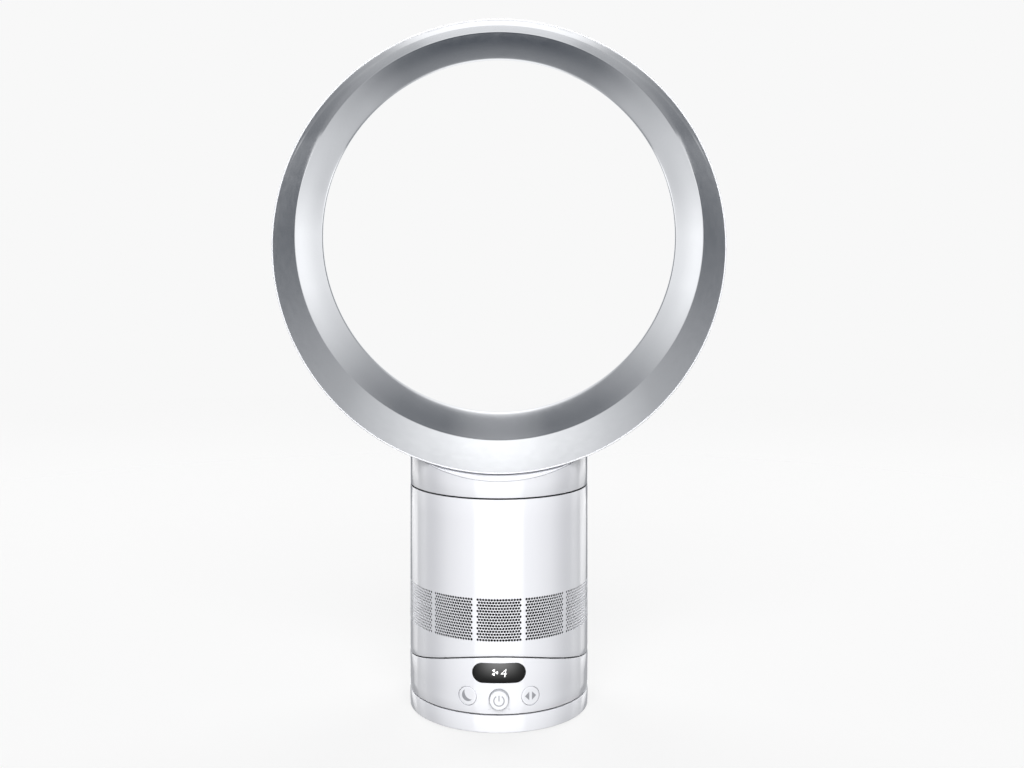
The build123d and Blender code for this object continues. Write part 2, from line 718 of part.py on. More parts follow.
def diffuser_vanes():
    low = BUCKET_Z + VANE_LOW
    ring = tube(BUCKET_R + SEAT + 1.2, BUCKET_R + SEAT, low, low + VANE_H)
    length = DUCT_R - 0.7 - (BUCKET_R + 0.7)
    place = Pos((DUCT_R - 0.7 + BUCKET_R + 0.7) / 2, 0, low + VANE_H / 2)
    vane = place * Rot(30, 0, 0) * Box(length, 1.6, VANE_H - 1)
    return joined([ring] + spread(vane, VANES))


def bayonet_ring():
    ring = tube(IN_R - SEAT, IN_R - 3, CASING_TOP - 4, CASING_TOP - 0.2)
    lug = block(-7, 7, IN_R - 5.2, IN_R - 2.6, CASING_TOP - 4, CASING_TOP - 2.4)
    return joined([ring] + spread(lug, 3, 60))


def neck_gasket():
    return tube(BODY_R - 1.2, IN_R - 3, CASING_TOP + 0.05, COLLAR_LOW_Z - 0.05)


def loop_neck():
    top = RING_Z
    saddle = ring_drum(SADDLE_R)
    outside = disc(BODY_R, COLLAR_LOW_Z, top) - saddle
    hollow = disc(IN_R, COLLAR_LOW_Z + WALL, top) - ring_drum(SADDLE_R + WALL)
    neck = outside - hollow - disc(IN_R - 7, COLLAR_LOW_Z - 1, COLLAR_LOW_Z + 5)
    neck = neck - block(-PASS_X, PASS_X, PASS_FRONT, PASS_BACK, COLLAR_LOW_Z + WALL, top)
    tab = block(-7, 7, IN_R - 7.4, IN_R - 5.5, CASING_TOP - 4, COLLAR_LOW_Z + 1)
    return joined([neck] + spread(tab, 3, 60))


def shell_outline(steps):
    """Outer circles of the ring shell from front to lip, as (depth, radius, centre height)."""
    start = RING_BACK - ROUND_DEPTH
    fall = RING_R - LIP_R
    circles = [(RING_FRONT, RING_R, RING_Z), (start, RING_R, RING_Z)]
    for k in range(1, steps + 1):
        turn = pi / 2 * k / steps
        share = 0.5 * (1 - cos(turn))
        depth = start + (RING_BACK - start) * sin(turn)
        circles.append((depth, RING_R - fall * share, RING_Z + BORE_RISE * share))
    for share in (0.76, 1.0):
        depth = RING_BACK - (RING_BACK - LIP_Y) * ((share - 0.5) / 0.5) ** 2
        circles.append((depth, RING_R - fall * share, RING_Z + BORE_RISE * share))
    return circles


def inset(circles, wall):
    """The same circles moved inwards by a wall, square to the section's outline."""
    moved = []
    for k, (depth, radius, height) in enumerate(circles):
        before = circles[max(k - 1, 0)]
        after = circles[min(k + 1, len(circles) - 1)]
        along = after[0] - before[0]
        across = after[1] - before[1]
        size = sqrt(along**2 + across**2)
        moved.append((depth + wall * across / size, radius - wall * along / size, height))
    return moved


def loop_shell():
    outer = shell_outline(3)
    inner = inset(outer, SHELL_WALL)
    inner[0] = (RING_FRONT, RING_R - SHELL_WALL, RING_Z)
    inner[1] = (outer[1][0], RING_R - SHELL_WALL, RING_Z)
    shell = hoop(outer + inner[::-1])
    return shell - block(-PASS_X, PASS_X, PASS_FRONT, PASS_BACK, RING_LOW_Z - 5, RING_LOW_Z + 15)


def loop_shroud():
    rim = RING_R - SHELL_WALL - SEAT
    tail_y = CREST_Y
    tail_r = CREST_R + TAIL_R
    low = CREASE_R - CREST_R
    seen = [
        (RING_FRONT, rim, RING_Z),
        (RING_FRONT, rim - NOSE, RING_Z),
        (CREASE_Y, CREASE_R, BORE_Z),
        (CREST_Y - 12.5, CREST_R + low * 0.22, BORE_Z),
        (CREST_Y - 6.5, CREST_R + low * 0.08, BORE_Z),
        (CREST_Y, CREST_R, BORE_Z),
        (tail_y + TAIL_R * 0.7, tail_r - TAIL_R * 0.7, BORE_Z),
        (tail_y + TAIL_R, tail_r, BORE_Z),
        (tail_y + TAIL_R * 0.78, tail_r + TAIL_R * 0.62, BORE_Z),
    ]
    hidden = [
        (tail_y + TAIL_R * 0.5, tail_r + TAIL_R * 0.4, BORE_Z),
        (tail_y + TAIL_R * 0.62, tail_r, BORE_Z),
        (tail_y + TAIL_R * 0.4, tail_r - TAIL_R * 0.45, BORE_Z),
        (CREST_Y, CREST_R + 1.8, BORE_Z),
        (CREST_Y - 6, CREST_R + low * 0.08 + 1.8, BORE_Z),
        (CREST_Y - 11.8, CREST_R + low * 0.22 + 1.8, BORE_Z),
        (CREASE_Y, CREASE_R + CREASE_WALL + 0.2, BORE_Z - 0.2),
        (RING_FRONT + 4, rim, RING_Z),
    ]
    return hoop(seen + hidden)


def lip_inside(radius):
    """Depth of the shell's inner face near the lip, at the ring's lowest point and a radius of the bore."""
    depth, before, height = shell_outline(3)[-2]
    run = before + BORE_Z - height - LIP_R
    slope = (depth - LIP_Y) / run
    return LIP_Y + slope * (radius - LIP_R) - SHELL_WALL * sqrt(1 + slope**2)


def slot_spacers():
    y0 = CREST_Y + TAIL_R + 0.05
    low = CREST_R + TAIL_R + 0.8
    spacers = []
    for k in range(10):
        one = block(-1.5, 1.5, y0, lip_inside(low) - SEAT, low, low + 2.8)
        spacers.append(Pos(0, 0, BORE_Z) * Rot(0, 18 + 36 * k, 0) * one)
    return apart(spacers)


def remote_magnets():
    high = RING_Z + sqrt((RING_R - SHELL_WALL) ** 2 - 20**2) - SEAT
    return apart([block(x - 6, x + 6, 6, 16, high - 4, high) for x in (-14, 14)])


PARTS = {
    "foot_shell": foot_shell,
    "foot_cover": foot_cover,
    "rubber_ring": rubber_ring,
    "foot_screws": foot_screws,
    "dc_inlet_jack": dc_inlet_jack,
    "glide_ring": glide_ring,
    "slew_gear": slew_gear,
    "spindle_clip": spindle_clip,
    "base_chassis": base_chassis,
    "base_casing": base_casing,
    "tilt_cradle": tilt_cradle,
    "cradle_screws": cradle_screws,
    "display_lens": display_lens,
    "display_module": display_module,
    "main_board": main_board,
    "tact_switches": tact_switches,
    "knob_encoder": knob_encoder,
    "oscillation_motor": oscillation_motor,
    "motor_screws": motor_screws,
    "drive_pinion": drive_pinion,
    "knob_stem": knob_stem,
    "power_knob": power_knob,
    "body_casing": body_casing,
    "tilt_skid": tilt_skid,
    "tilt_runners": tilt_runners,
    "floor_foam": floor_foam,
    "inlet_foam": inlet_foam,
    "impeller_housing": impeller_housing,
    "housing_seal": housing_seal,
    "impeller": impeller,
    "motor_rotor": motor_rotor,
    "shaft_bearings": shaft_bearings,
    "motor_bucket_lower": motor_bucket_lower,
    "motor_bucket_upper": motor_bucket_upper,
    "motor_stator": motor_stator,
    "stator_coils": stator_coils,
    "diffuser_vanes": diffuser_vanes,
    "bayonet_ring": bayonet_ring,
    "neck_gasket": neck_gasket,
    "loop_neck": loop_neck,
    "loop_shell": loop_shell,
    "loop_shroud": loop_shroud,
    "slot_spacers": slot_spacers,
    "remote_magnets": remote_magnets,
}

os.makedirs("parts", exist_ok=True)
for name, make in PARTS.items():
    export_step(make(), f"parts/{name}.step")
export_step(push_button(-BUTTON_TURN), "parts/sleep_button.step")
export_step(push_button(BUTTON_TURN), "parts/oscillate_button.step")
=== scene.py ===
import json
import math

import bmesh
import bpy
from mathutils import Matrix, Vector


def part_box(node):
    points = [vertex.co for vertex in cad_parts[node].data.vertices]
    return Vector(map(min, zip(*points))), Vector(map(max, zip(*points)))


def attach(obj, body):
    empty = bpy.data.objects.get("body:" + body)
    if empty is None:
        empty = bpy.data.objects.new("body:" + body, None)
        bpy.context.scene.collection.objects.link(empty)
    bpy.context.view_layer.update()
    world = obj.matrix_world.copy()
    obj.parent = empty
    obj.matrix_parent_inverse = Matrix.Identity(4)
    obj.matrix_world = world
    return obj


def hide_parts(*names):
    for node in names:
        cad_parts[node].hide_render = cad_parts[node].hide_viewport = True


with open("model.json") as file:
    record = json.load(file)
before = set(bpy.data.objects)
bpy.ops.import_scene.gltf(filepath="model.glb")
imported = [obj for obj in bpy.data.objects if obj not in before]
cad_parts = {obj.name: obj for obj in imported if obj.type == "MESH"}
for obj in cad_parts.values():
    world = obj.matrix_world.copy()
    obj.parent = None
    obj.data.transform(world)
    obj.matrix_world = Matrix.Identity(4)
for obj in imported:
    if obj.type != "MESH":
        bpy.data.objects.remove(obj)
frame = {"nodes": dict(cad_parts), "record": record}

bl_info = {
    "name": "Ring Fan Looks",
    "version": (1, 0, 0),
    "blender": (4, 5, 0),
    "location": "View3D > Sidebar > Ring Fan",
    "description": "Shells, controls, finishes and studio of a bladeless desk fan",
    "category": "Object",
}

MM = 0.001
ROUND = 256           # sides of every turned shell
SMALL_ROUND = 96      # sides of the buttons, the rods and the display's ends
WAVE = 6.2832         # with a pitch, sets a wave texture's scale: a stripe comes every two pitches
UPRIGHT = Matrix.Rotation(math.pi / 2, 4, "X")  # turns a flat circle to face along the ring's axis
STILL = Matrix.Identity(4)

# gaps between the pieces, in millimetres
COLLAR_GAP = 1.05     # under the collar
SADDLE_GAP = 0.55     # between the ring and the collar's saddle
TILT_GAP = 0.35       # either side of the middle of the tilt seam
FOOT_GAP = 1.0        # over the foot
BUTTON_PLAY = 0.35    # round a button
KNOB_PLAY = 0.12      # round the knob

# places of the controls, in millimetres and in degrees from the front
BUTTON_TURN = 19.5
BUTTON_Z = 24.4
KNOB_Z = 23.6
DISPLAY_Z = 40.4
DISPLAY_SIZE = (35.4, 13.3)


def linear(code):
    """Linear colour with alpha from an sRGB hex code."""
    steps = [int(code[k : k + 2], 16) / 255 for k in (0, 2, 4)]
    return tuple(c / 12.92 if c <= 0.04045 else ((c + 0.055) / 1.055) ** 2.4 for c in steps) + (1.0,)


def corner(node, side, axis):
    """Millimetres of a CAD node's lowest (0) or highest (1) corner along an axis."""
    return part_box(node)[side][axis] / MM


def length(label, words, size):
    """A length in millimetres that a user may change."""
    return bpy.props.FloatProperty(name=label, description=words, default=size * MM, unit="LENGTH")


class FanForm(bpy.types.PropertyGroup):
    """Sizes of the shells and controls."""

    body_radius: length("Body radius", "Outside of the round body", corner("body_casing", 1, 0))
    wall: length("Wall", "Thickness of the moulded walls", 2.4)
    edge_round: length("Edge break", "Softened edge along every open seam", 0.3)
    tilt_radius: length("Tilt radius", "Radius of the curved seam that the body tilts along", 153.9)
    tilt_height: length("Tilt axis height", "Height of the axis that the body tilts about", 191.8)
    ring_radius: length("Ring radius", "Outside of the ring", corner("loop_shell", 1, 0))
    ring_height: length("Ring centre height", "Height of the outer circle's centre", 320.6)
    bore_rise: length("Bore rise", "Height of the bore's centre above the outer circle's centre", 7.2)
    bore_radius: length("Bore radius", "Narrowest circle of the bore", 128.3)
    crease_radius: length("Crease radius", "Edge between the ring's front band and its diffuser", 143.45)
    perforation: length("Perforation", "Diameter of the inlet holes", 1.76)
    button_radius: length("Button radius", "Radius of the two push buttons", 6.05)
    knob_radius: length("Knob radius", "Radius of the power knob", 6.55)


def colour_choice(label, words, code):
    """A colour that a user may change."""
    return bpy.props.FloatVectorProperty(
        name=label, description=words, subtype="COLOR", size=4, min=0, max=1, default=linear(code))


class FanFinish(bpy.types.PropertyGroup):
    """Colours of the finishes."""

    white: colour_choice("White shell", "Glossy moulded shells", "E8E9EE")
    nickel: colour_choice("Satin nickel", "Metallised surface inside the ring", "D3D4D6")
    lens: colour_choice("Display window", "Smoked window over the display", "141414")
    ink: colour_choice("Printed marks", "Symbols on the buttons and the knob", "97989D")
    glow: colour_choice("Display light", "Lit marks behind the window", "FFFFFF")
    floor: colour_choice("Floor", "Studio floor", "F8F8F8")
    backdrop: colour_choice("Backdrop", "Studio background", "F8F8F8")


# ---- finishes -------------------------------------------------------------------------------------
def add(tree, kind, inputs=None, **settings):
    """Adds a node with its settings; an input is a value or another node's output."""
    node = tree.nodes.new(kind)
    for name, value in settings.items():
        setattr(node, name, value)
    for name, value in (inputs or {}).items():
        if isinstance(value, bpy.types.NodeSocket):
            tree.links.new(value, node.inputs[name])
        else:
            node.inputs[name].default_value = value
    return node


def blank(name):
    """An empty material's node tree."""
    made = bpy.data.materials.new(name)
    made.use_nodes = True
    made.node_tree.nodes.clear()
    return made.node_tree


def surface(tree, sockets):
    """Ends a material in a Principled shader."""
    shader = add(tree, "ShaderNodeBsdfPrincipled", sockets)
    add(tree, "ShaderNodeOutputMaterial", {"Surface": shader.outputs["BSDF"]})


def shade(colour, share):
    """The colour made darker or lighter by a share."""
    return tuple(min(1.0, c * share) for c in colour[:3]) + (1.0,)


def wander(tree, grain, detail):
    """A value that wanders over patches of a size in millimetres."""
    where = add(tree, "ShaderNodeTexCoord").outputs["Object"]
    noise = add(tree, "ShaderNodeTexNoise", {"Vector": where, "Scale": 1 / (grain * MM), "Detail": detail})
    return noise.outputs["Fac"]


def speckle(tree, grain, low, high):
    """A value between low and high that changes over patches of a size in millimetres."""
    spread = add(tree, "ShaderNodeMapRange", {
        "Value": wander(tree, grain, 3.0), "From Min": 0.3, "From Max": 0.7, "To Min": low, "To Max": high})
    return spread.outputs["Result"]


def tone(tree, colour, grain, spread):
    """The colour, a little lighter and darker over patches of a size in millimetres."""
    mix = add(tree, "ShaderNodeMix", {
        "Factor": speckle(tree, grain, 0.0, 1.0),
        "A": shade(colour, 1 - spread), "B": shade(colour, 1 + spread)}, data_type="RGBA")
    return mix.outputs["Result"]


def relief(tree, grain, height):
    """Fine bumps of a width and height in millimetres."""
    bump = add(tree, "ShaderNodeBump", {"Height": wander(tree, grain, 2.0), "Distance": height * MM})
    return bump.outputs["Normal"]


def moulded_plastic(name, colour, rough, grain, height, spread=0.02, coat=0.0):
    """Injection-moulded plastic: its tool's polish shows as faint waves and uneven gloss."""
    tree = blank(name)
    surface(tree, {
        "Base Color": tone(tree, colour, grain * 40, spread),
        "Roughness": speckle(tree, grain * 9, rough * 0.85, rough * 1.15),
        "Normal": relief(tree, grain, height),
        "IOR": 1.53,
        "Coat Weight": coat,
        "Coat Roughness": 0.06,
    })


def plated_metal(name, colour, rough, grain, height, spread):
    """Plated or metallised surface: the colour is the metal's own, and the gloss drifts slowly."""
    tree = blank(name)
    surface(tree, {
        "Base Color": tone(tree, colour, grain * 30, spread),
        "Metallic": 1.0,
        "Roughness": speckle(tree, grain * 12, rough * 0.9, rough * 1.1),
        "Normal": relief(tree, grain, height),
    })


def striped_metal(name, colour, pitch, gap, wobble, detail, metallic, rough, depth):
    """Sheets or turns of metal along the shaft, dark where they meet; pitch and depth in millimetres."""
    tree = blank(name)
    where = add(tree, "ShaderNodeTexCoord").outputs["Object"]
    stripes = add(tree, "ShaderNodeTexWave", {
        "Vector": where, "Scale": 1 / (pitch * MM * WAVE), "Distortion": wobble, "Detail": detail,
    }, bands_direction="Z").outputs["Fac"]
    mix = add(tree, "ShaderNodeMix", {
        "Factor": stripes, "A": shade(colour, gap), "B": colour}, data_type="RGBA")
    bump = add(tree, "ShaderNodeBump", {"Height": stripes, "Distance": depth * MM})
    surface(tree, {
        "Base Color": mix.outputs["Result"], "Metallic": metallic, "Roughness": rough,
        "Normal": bump.outputs["Normal"]})


def open_cell_foam(name, colour, cell):
    """Reticulated foam: dark pores between matt struts."""
    tree = blank(name)
    where = add(tree, "ShaderNodeTexCoord").outputs["Object"]
    pores = add(tree, "ShaderNodeTexVoronoi", {"Vector": where, "Scale": 1 / (cell * MM)}).outputs["Distance"]
    mix = add(tree, "ShaderNodeMix", {
        "Factor": pores, "A": shade(colour, 0.2), "B": colour}, data_type="RGBA")
    bump = add(tree, "ShaderNodeBump", {"Height": pores, "Distance": 0.5 * MM})
    surface(tree, {
        "Base Color": mix.outputs["Result"], "Roughness": 0.95, "Specular IOR Level": 0.1,
        "Normal": bump.outputs["Normal"]})


def solder_mask(name, colour, repeat):
    """Green lacquer over copper tracks, which show as faint lighter lines; repeat in millimetres."""
    tree = blank(name)
    where = add(tree, "ShaderNodeTexCoord").outputs["Object"]
    tracks = add(tree, "ShaderNodeTexBrick", {
        "Vector": where, "Scale": 1 / (repeat * MM), "Mortar Size": 0.06, "Color1": colour, "Color2": colour,
        "Mortar": shade(colour, 2.2)})
    surface(tree, {
        "Base Color": tracks.outputs["Color"], "Roughness": 0.25, "Normal": relief(tree, 0.6, 0.01)})


def smoked_window(name, colour):
    """Smoked polycarbonate: deep black, with a paler patch painted into its colour at the upper middle as a
    painted highlight.
    """
    tree = blank(name)
    where = add(tree, "ShaderNodeTexCoord").outputs["Object"]
    part = add(tree, "ShaderNodeSeparateXYZ", {0: where})
    across = add(tree, "ShaderNodeMath", {0: part.outputs["X"]}, operation="ABSOLUTE").outputs[0]
    # painted highlight: the window's colour is made paler towards its upper middle
    highlight_ramps = []
    for value, none, full in (
        (part.outputs["Z"], DISPLAY_Z - 6.0, DISPLAY_Z + 8.0),
        (across, 19.0, 1.0),
    ):
        highlight_ramps.append(add(tree, "ShaderNodeMapRange", {
            "Value": value, "From Min": none * MM, "From Max": full * MM},
            interpolation_type="SMOOTHSTEP").outputs["Result"])
    painted_highlight = add(tree, "ShaderNodeMath", {0: highlight_ramps[0], 1: highlight_ramps[1]}, operation="MULTIPLY").outputs[0]
    mix = add(tree, "ShaderNodeMix", {
        "Factor": painted_highlight, "A": tone(tree, colour, 12.0, 0.1), "B": shade(colour, 30)}, data_type="RGBA")
    surface(tree, {
        "Base Color": mix.outputs["Result"],
        "Roughness": speckle(tree, 6.0, 0.04, 0.08),
        "Normal": relief(tree, 3.0, 0.001),
        "Specular IOR Level": 0.05,
    })


def lit_mark(name, colour, strength):
    """Light seen through a cut in the display's mask, a little uneven from the diffuser behind it."""
    tree = blank(name)
    surface(tree, {
        "Base Color": colour, "Emission Color": tone(tree, colour, 0.6, 0.08), "Roughness": 0.4,
        "Emission Strength": strength})


def pad_print(name, colour):
    """Pad-printed ink: flat and a little matt beside the gloss around it."""
    tree = blank(name)
    surface(tree, {
        "Base Color": tone(tree, colour, 0.8, 0.04), "Roughness": 0.5, "Normal": relief(tree, 0.12, 0.004)})


def finishes():
    """Every finish by name, made once."""
    if "moulded_white_abs" not in bpy.data.materials:
        pick = bpy.context.scene.fan_finish
        # polished ABS under a clear coat: an even gloss that shows the softboxes' edges
        moulded_plastic("moulded_white_abs", tuple(pick.white), 0.12, 0.9, 0.0004, 0.006, 1.0)
        # metallised ABS: a soft mirror whose bands follow the ring
        plated_metal("metallised_satin_nickel", tuple(pick.nickel), 0.12, 0.5, 0.0005, 0.008)
        # tinted polycarbonate: a near-black window with hardly a reflection, and a painted highlight at its
        # upper middle
        smoked_window("smoked_polycarbonate", tuple(pick.lens))
        # pad-printed inks: flat marks, matt beside the gloss, the paler ones fainter on white
        pad_print("pad_printed_grey", tuple(pick.ink))
        pad_print("pale_pad_print", linear("9A9BA0"))
        pad_print("faint_pad_print", linear("D3D4D8"))
        # light behind a mask: white marks that glow evenly
        lit_mark("lit_display_white", tuple(pick.glow), 0.78)
        # painted shade: a grey band round the knob's side, standing for the side wall in shade as seen from
        # above
        moulded_plastic("painted_shade_band", linear("B2B4B8"), 0.35, 0.4, 0.002)
        # spark-eroded ABS: dull grey with a sandy grain
        moulded_plastic("textured_grey_abs", linear("5A5C5E"), 0.5, 0.35, 0.03)
        # glass-filled nylon: near black, matt and slightly mottled
        moulded_plastic("black_glass_filled_nylon", linear("242526"), 0.55, 0.25, 0.04, 0.1)
        # moulded acetal: milky white with a waxy gloss
        moulded_plastic("natural_acetal", linear("DEDBD2"), 0.35, 0.5, 0.01)
        # moulded elastomer: dull black with no clear highlight
        moulded_plastic("black_elastomer", linear("1F1F20"), 0.8, 0.2, 0.05, 0.15)
        # open-cell foam: black behind the holes, so that they read as holes
        open_cell_foam("open_cell_foam", linear("0E0E0F"), 0.9)
        # zinc plating: bright grey with cloudy patches
        plated_metal("zinc_plated_steel", linear("C4C5C7"), 0.32, 0.3, 0.006, 0.08)
        # punched steel sheets: grey stripes with dark oxide between, twice as thick as real ones to show
        striped_metal("steel_laminations", linear("6F7073"), 0.5, 0.4, 0.0, 2.0, 0.9, 0.45, 0.05)
        # enamelled wire: orange turns, drawn twice as thick as real ones to show
        striped_metal("enamelled_copper", linear("C07A4A"), 0.4, 0.35, 0.6, 1.0, 1.0, 0.3, 0.15)
        # lacquered board: green gloss crossed by faint lighter lines
        solder_mask("green_solder_mask", linear("1B6238"), 6.25)
    return bpy.data.materials


SLOT_FINISH = {
    "white_gloss": "moulded_white_abs",
    "satin_nickel": "metallised_satin_nickel",
    "smoked_lens": "smoked_polycarbonate",
    "grey_abs": "textured_grey_abs",
    "black_nylon": "black_glass_filled_nylon",
    "natural_acetal": "natural_acetal",
    "rubber_black": "black_elastomer",
    "black_foam": "open_cell_foam",
    "zinc_steel": "zinc_plated_steel",
    "lamination_steel": "steel_laminations",
    "copper_wire": "enamelled_copper",
    "board_green": "green_solder_mask",
}


# ---- modelling ------------------------------------------------------------------------------------
def skinned(bm, circles, turn=STILL, close=False, sides=ROUND, caps=(False, False), poles=False):
    """Skin grown through circles of (radius, centre), in order along the surface. Gives their vertices."""
    radius, centre = circles[0]
    made = bmesh.ops.create_circle(
        bm, cap_ends=caps[0], radius=radius, segments=sides, matrix=Matrix.Translation(centre) @ turn)
    loops = [made["verts"]]
    edges = list({edge for vert in made["verts"] for edge in vert.link_edges})
    for radius, centre in list(circles[1:]) + (list(circles[:1]) if close else []):
        before, old = Vector(circles[len(loops) - 1][1]), circles[len(loops) - 1][0]
        grown = bmesh.ops.extrude_edge_only(bm, edges=edges)["geom"]
        verts = [item for item in grown if isinstance(item, bmesh.types.BMVert)]
        edges = [item for item in grown if isinstance(item, bmesh.types.BMEdge) and item.is_boundary]
        for vert in verts:
            vert.co = Vector(centre) + (vert.co - before) * (radius / old)
        loops.append(verts)
    if close:
        ends = loops[0] + loops.pop()
        bmesh.ops.remove_doubles(bm, verts=ends, dist=1e-4)
        loops[0] = [vert for vert in ends if vert.is_valid]
    if caps[1]:
        bmesh.ops.edgeloop_fill(bm, edges=edges)
    if poles:
        for k in (0, -1):
            bmesh.ops.pointmerge(bm, verts=loops[k], merge_co=circles[k][1])
        loops = loops[1:-1]
    return loops


def outward(bm):
    """Turns every normal out of the solid."""
    bmesh.ops.recalc_face_normals(bm, faces=bm.faces)
    if bm.calc_volume(signed=True) < 0:
        bmesh.ops.reverse_faces(bm, faces=bm.faces)


def flat_mesh(bm, name="shape"):
    """A mesh from a bmesh, which is used up."""
    outward(bm)
    mesh = bpy.data.meshes.new(name)
    bm.to_mesh(mesh)
    bm.free()
    return mesh


def turned(circles, place=STILL, **how):
    """A mesh skinned through circles and moved into its place."""
    bm = bmesh.new()
    skinned(bm, circles, **how)
    bmesh.ops.transform(bm, matrix=place, verts=bm.verts)
    return flat_mesh(bm)


def carved(mesh, cutters, operation="DIFFERENCE"):
    """A mesh with other meshes cut out of it, or what it shares with them."""
    scene = bpy.context.scene.collection
    piece = bpy.data.objects.new("carved", mesh)
    scene.objects.link(piece)
    tools = []
    for cutter in cutters:
        tool = bpy.data.objects.new("cutter", cutter)
        scene.objects.link(tool)
        cut = piece.modifiers.new("cut", "BOOLEAN")
        cut.operation = operation
        cut.solver = "EXACT"
        cut.object = tool
        tools.append(tool)
    graph = bpy.context.evaluated_depsgraph_get()
    result = bpy.data.meshes.new_from_object(piece.evaluated_get(graph))
    for old in [piece] + tools:
        bpy.data.objects.remove(old)
    bm = bmesh.new()
    bm.from_mesh(result)
    return flat_mesh(bm)


def settle(mesh, name, finish, body, nodes=(), sharp=35.0):
    """Makes a piece of a mesh in millimetres, riding on a body and standing for CAD nodes."""
    mesh.transform(Matrix.Scale(MM, 4))
    mesh.name = name
    mesh.materials.clear()
    mesh.materials.append(finishes()[finish])
    for face in mesh.polygons:
        face.use_smooth = True
        face.material_index = 0
    mesh.set_sharp_from_angle(angle=math.radians(sharp))
    piece = bpy.data.objects.new(name, mesh)
    bpy.context.scene.collection.objects.link(piece)
    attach(piece, body)
    if nodes:
        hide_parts(*nodes)
    return piece


def millimetres(name):
    """A size of the form in millimetres."""
    return getattr(bpy.context.scene.fan_form, name) / MM


def seam_height(radius, y):
    """Height of a drum about the tilt axis, under the axis, at a depth."""
    return millimetres("tilt_height") - math.sqrt(radius * radius - y * y)


def broken_edge(radius, height, edge):
    """Softened edge as (radius, height) from its inner end outwards; a negative edge runs downwards."""
    size = abs(edge)
    return [(radius - size, height), (radius - size * 0.3, height + edge * 0.3), (radius, height + edge)]


class FAN_OT_stage(bpy.types.Operator):
    """Lays the floor, the soft lights, the background and the camera"""

    bl_idname = "fan.stage"
    bl_label = "Studio"

    def execute(self, context):
        scene = context.scene
        pick = scene.fan_finish
        scene.view_settings.view_transform = "Standard"
        scene.view_settings.look = "None"
        build_floor(tuple(pick.floor))
        build_world(scene, tuple(pick.backdrop))
        build_lights(scene)
        build_camera(scene)
        return {"FINISHED"}


def build_floor(colour):
    """Round pale floor that fades into the background at its rim."""
    bm = bmesh.new()
    bmesh.ops.create_circle(bm, cap_ends=True, radius=2.4, segments=128)
    mesh = flat_mesh(bm, "studio_floor")
    tree = blank("matt_studio_floor")
    where = add(tree, "ShaderNodeTexCoord").outputs["Object"]
    reach = add(tree, "ShaderNodeVectorMath", {0: where}, operation="LENGTH")
    fade = add(tree, "ShaderNodeMapRange", {
        "Value": reach.outputs["Value"], "From Min": 0.5, "From Max": 1.9}, interpolation_type="SMOOTHSTEP")
    paper = add(tree, "ShaderNodeBsdfDiffuse", {"Color": shade(colour, 0.18)})
    glow = add(tree, "ShaderNodeEmission", {"Color": colour, "Strength": 0.8})
    sheet = add(tree, "ShaderNodeAddShader", {0: paper.outputs["BSDF"], 1: glow.outputs["Emission"]})
    clear = add(tree, "ShaderNodeBsdfTransparent")
    mix = add(tree, "ShaderNodeMixShader", {
        "Fac": fade.outputs["Result"], 1: sheet.outputs["Shader"], 2: clear.outputs["BSDF"]})
    add(tree, "ShaderNodeOutputMaterial", {"Surface": mix.outputs["Shader"]})
    mesh.materials.append(bpy.data.materials["matt_studio_floor"])
    floor = bpy.data.objects.new("studio_floor", mesh)
    bpy.context.scene.collection.objects.link(floor)
    floor.visible_glossy = False
    floor.visible_diffuse = False


# What gloss sees of the studio behind the fan: (place, brightness), where the place says how far a
# direction points down (0), sideways (0.5) or up (1). The lists go from straight behind to the sides.
STRAIGHT_BEHIND = 1.0
NEAR_STRAIGHT_BEHIND = [
    (0.0, 1.5), (0.03, 1.35), (0.05, 0.9), (0.067, 0.58), (0.1, 0.48), (0.146, 0.335), (0.25, 0.23),
    (0.37, 0.175), (0.5, 0.178), (0.63, 0.27), (0.75, 0.42), (0.854, 0.57), (0.933, 0.93), (0.983, 1.36),
    (1.0, 1.75)]
BETWEEN = [
    (0.0, 1.27), (0.017, 1.2), (0.030, 1.08), (0.042, 0.8), (0.067, 0.68), (0.146, 0.49), (0.245, 0.4),
    (0.262, 0.9), (0.29, 1.15), (0.337, 1.65), (0.42, 1.5), (0.5, 1.25), (0.63, 1.15), (0.75, 0.9),
    (0.854, 0.53), (0.933, 0.38), (0.983, 0.32), (1.0, 0.46)]
BESIDE = [
    (0.0, 0.29), (0.017, 0.29), (0.067, 0.34), (0.146, 0.67), (0.25, 0.83), (0.37, 0.88), (0.5, 1.17),
    (0.63, 1.15), (0.75, 0.9), (0.854, 0.54), (0.933, 0.32), (0.983, 0.28), (1.0, 0.45)]
FURTHER_ROUND = [
    (0.0, 0.11), (0.017, 0.125), (0.067, 0.215), (0.146, 0.58), (0.25, 0.87), (0.37, 1.07), (0.5, 1.48),
    (0.63, 1.44), (0.75, 0.97), (0.854, 0.51), (0.933, 0.255), (0.983, 0.23), (1.0, 0.416)]
# How straight behind a direction points where NEAR_STRAIGHT_BEHIND begins, at the same places.
EDGE_OF_NEAR = [(0.0, 0.89), (0.27, 0.89), (0.5, 0.79), (0.75, 0.685), (0.933, 0.6), (1.0, 0.584)]
# What gloss sees before the fan, by how far a direction turns sideways: the front softbox ends at half.
BEFORE = [(0.0, 2.6), (0.505, 2.6), (0.535, 1.45), (0.72, 1.3), (0.93, 0.95), (0.985, 0.5), (1.0, 0.3)]

# Spans of how straight behind a direction points, over which one list gives way to the next.
TO_BEHIND = (0.2, 0.38)
TO_BESIDE = (0.4, 0.55)
TO_BETWEEN = (0.58, 0.65)
TO_NEAR = (-0.025, 0.025)     # measured from EDGE_OF_NEAR
TO_STRAIGHT = (0.945, 0.97)
GLOSS_TINT = (-0.012, 0.0, 0.02)  # a little less red and more blue in what gloss sees


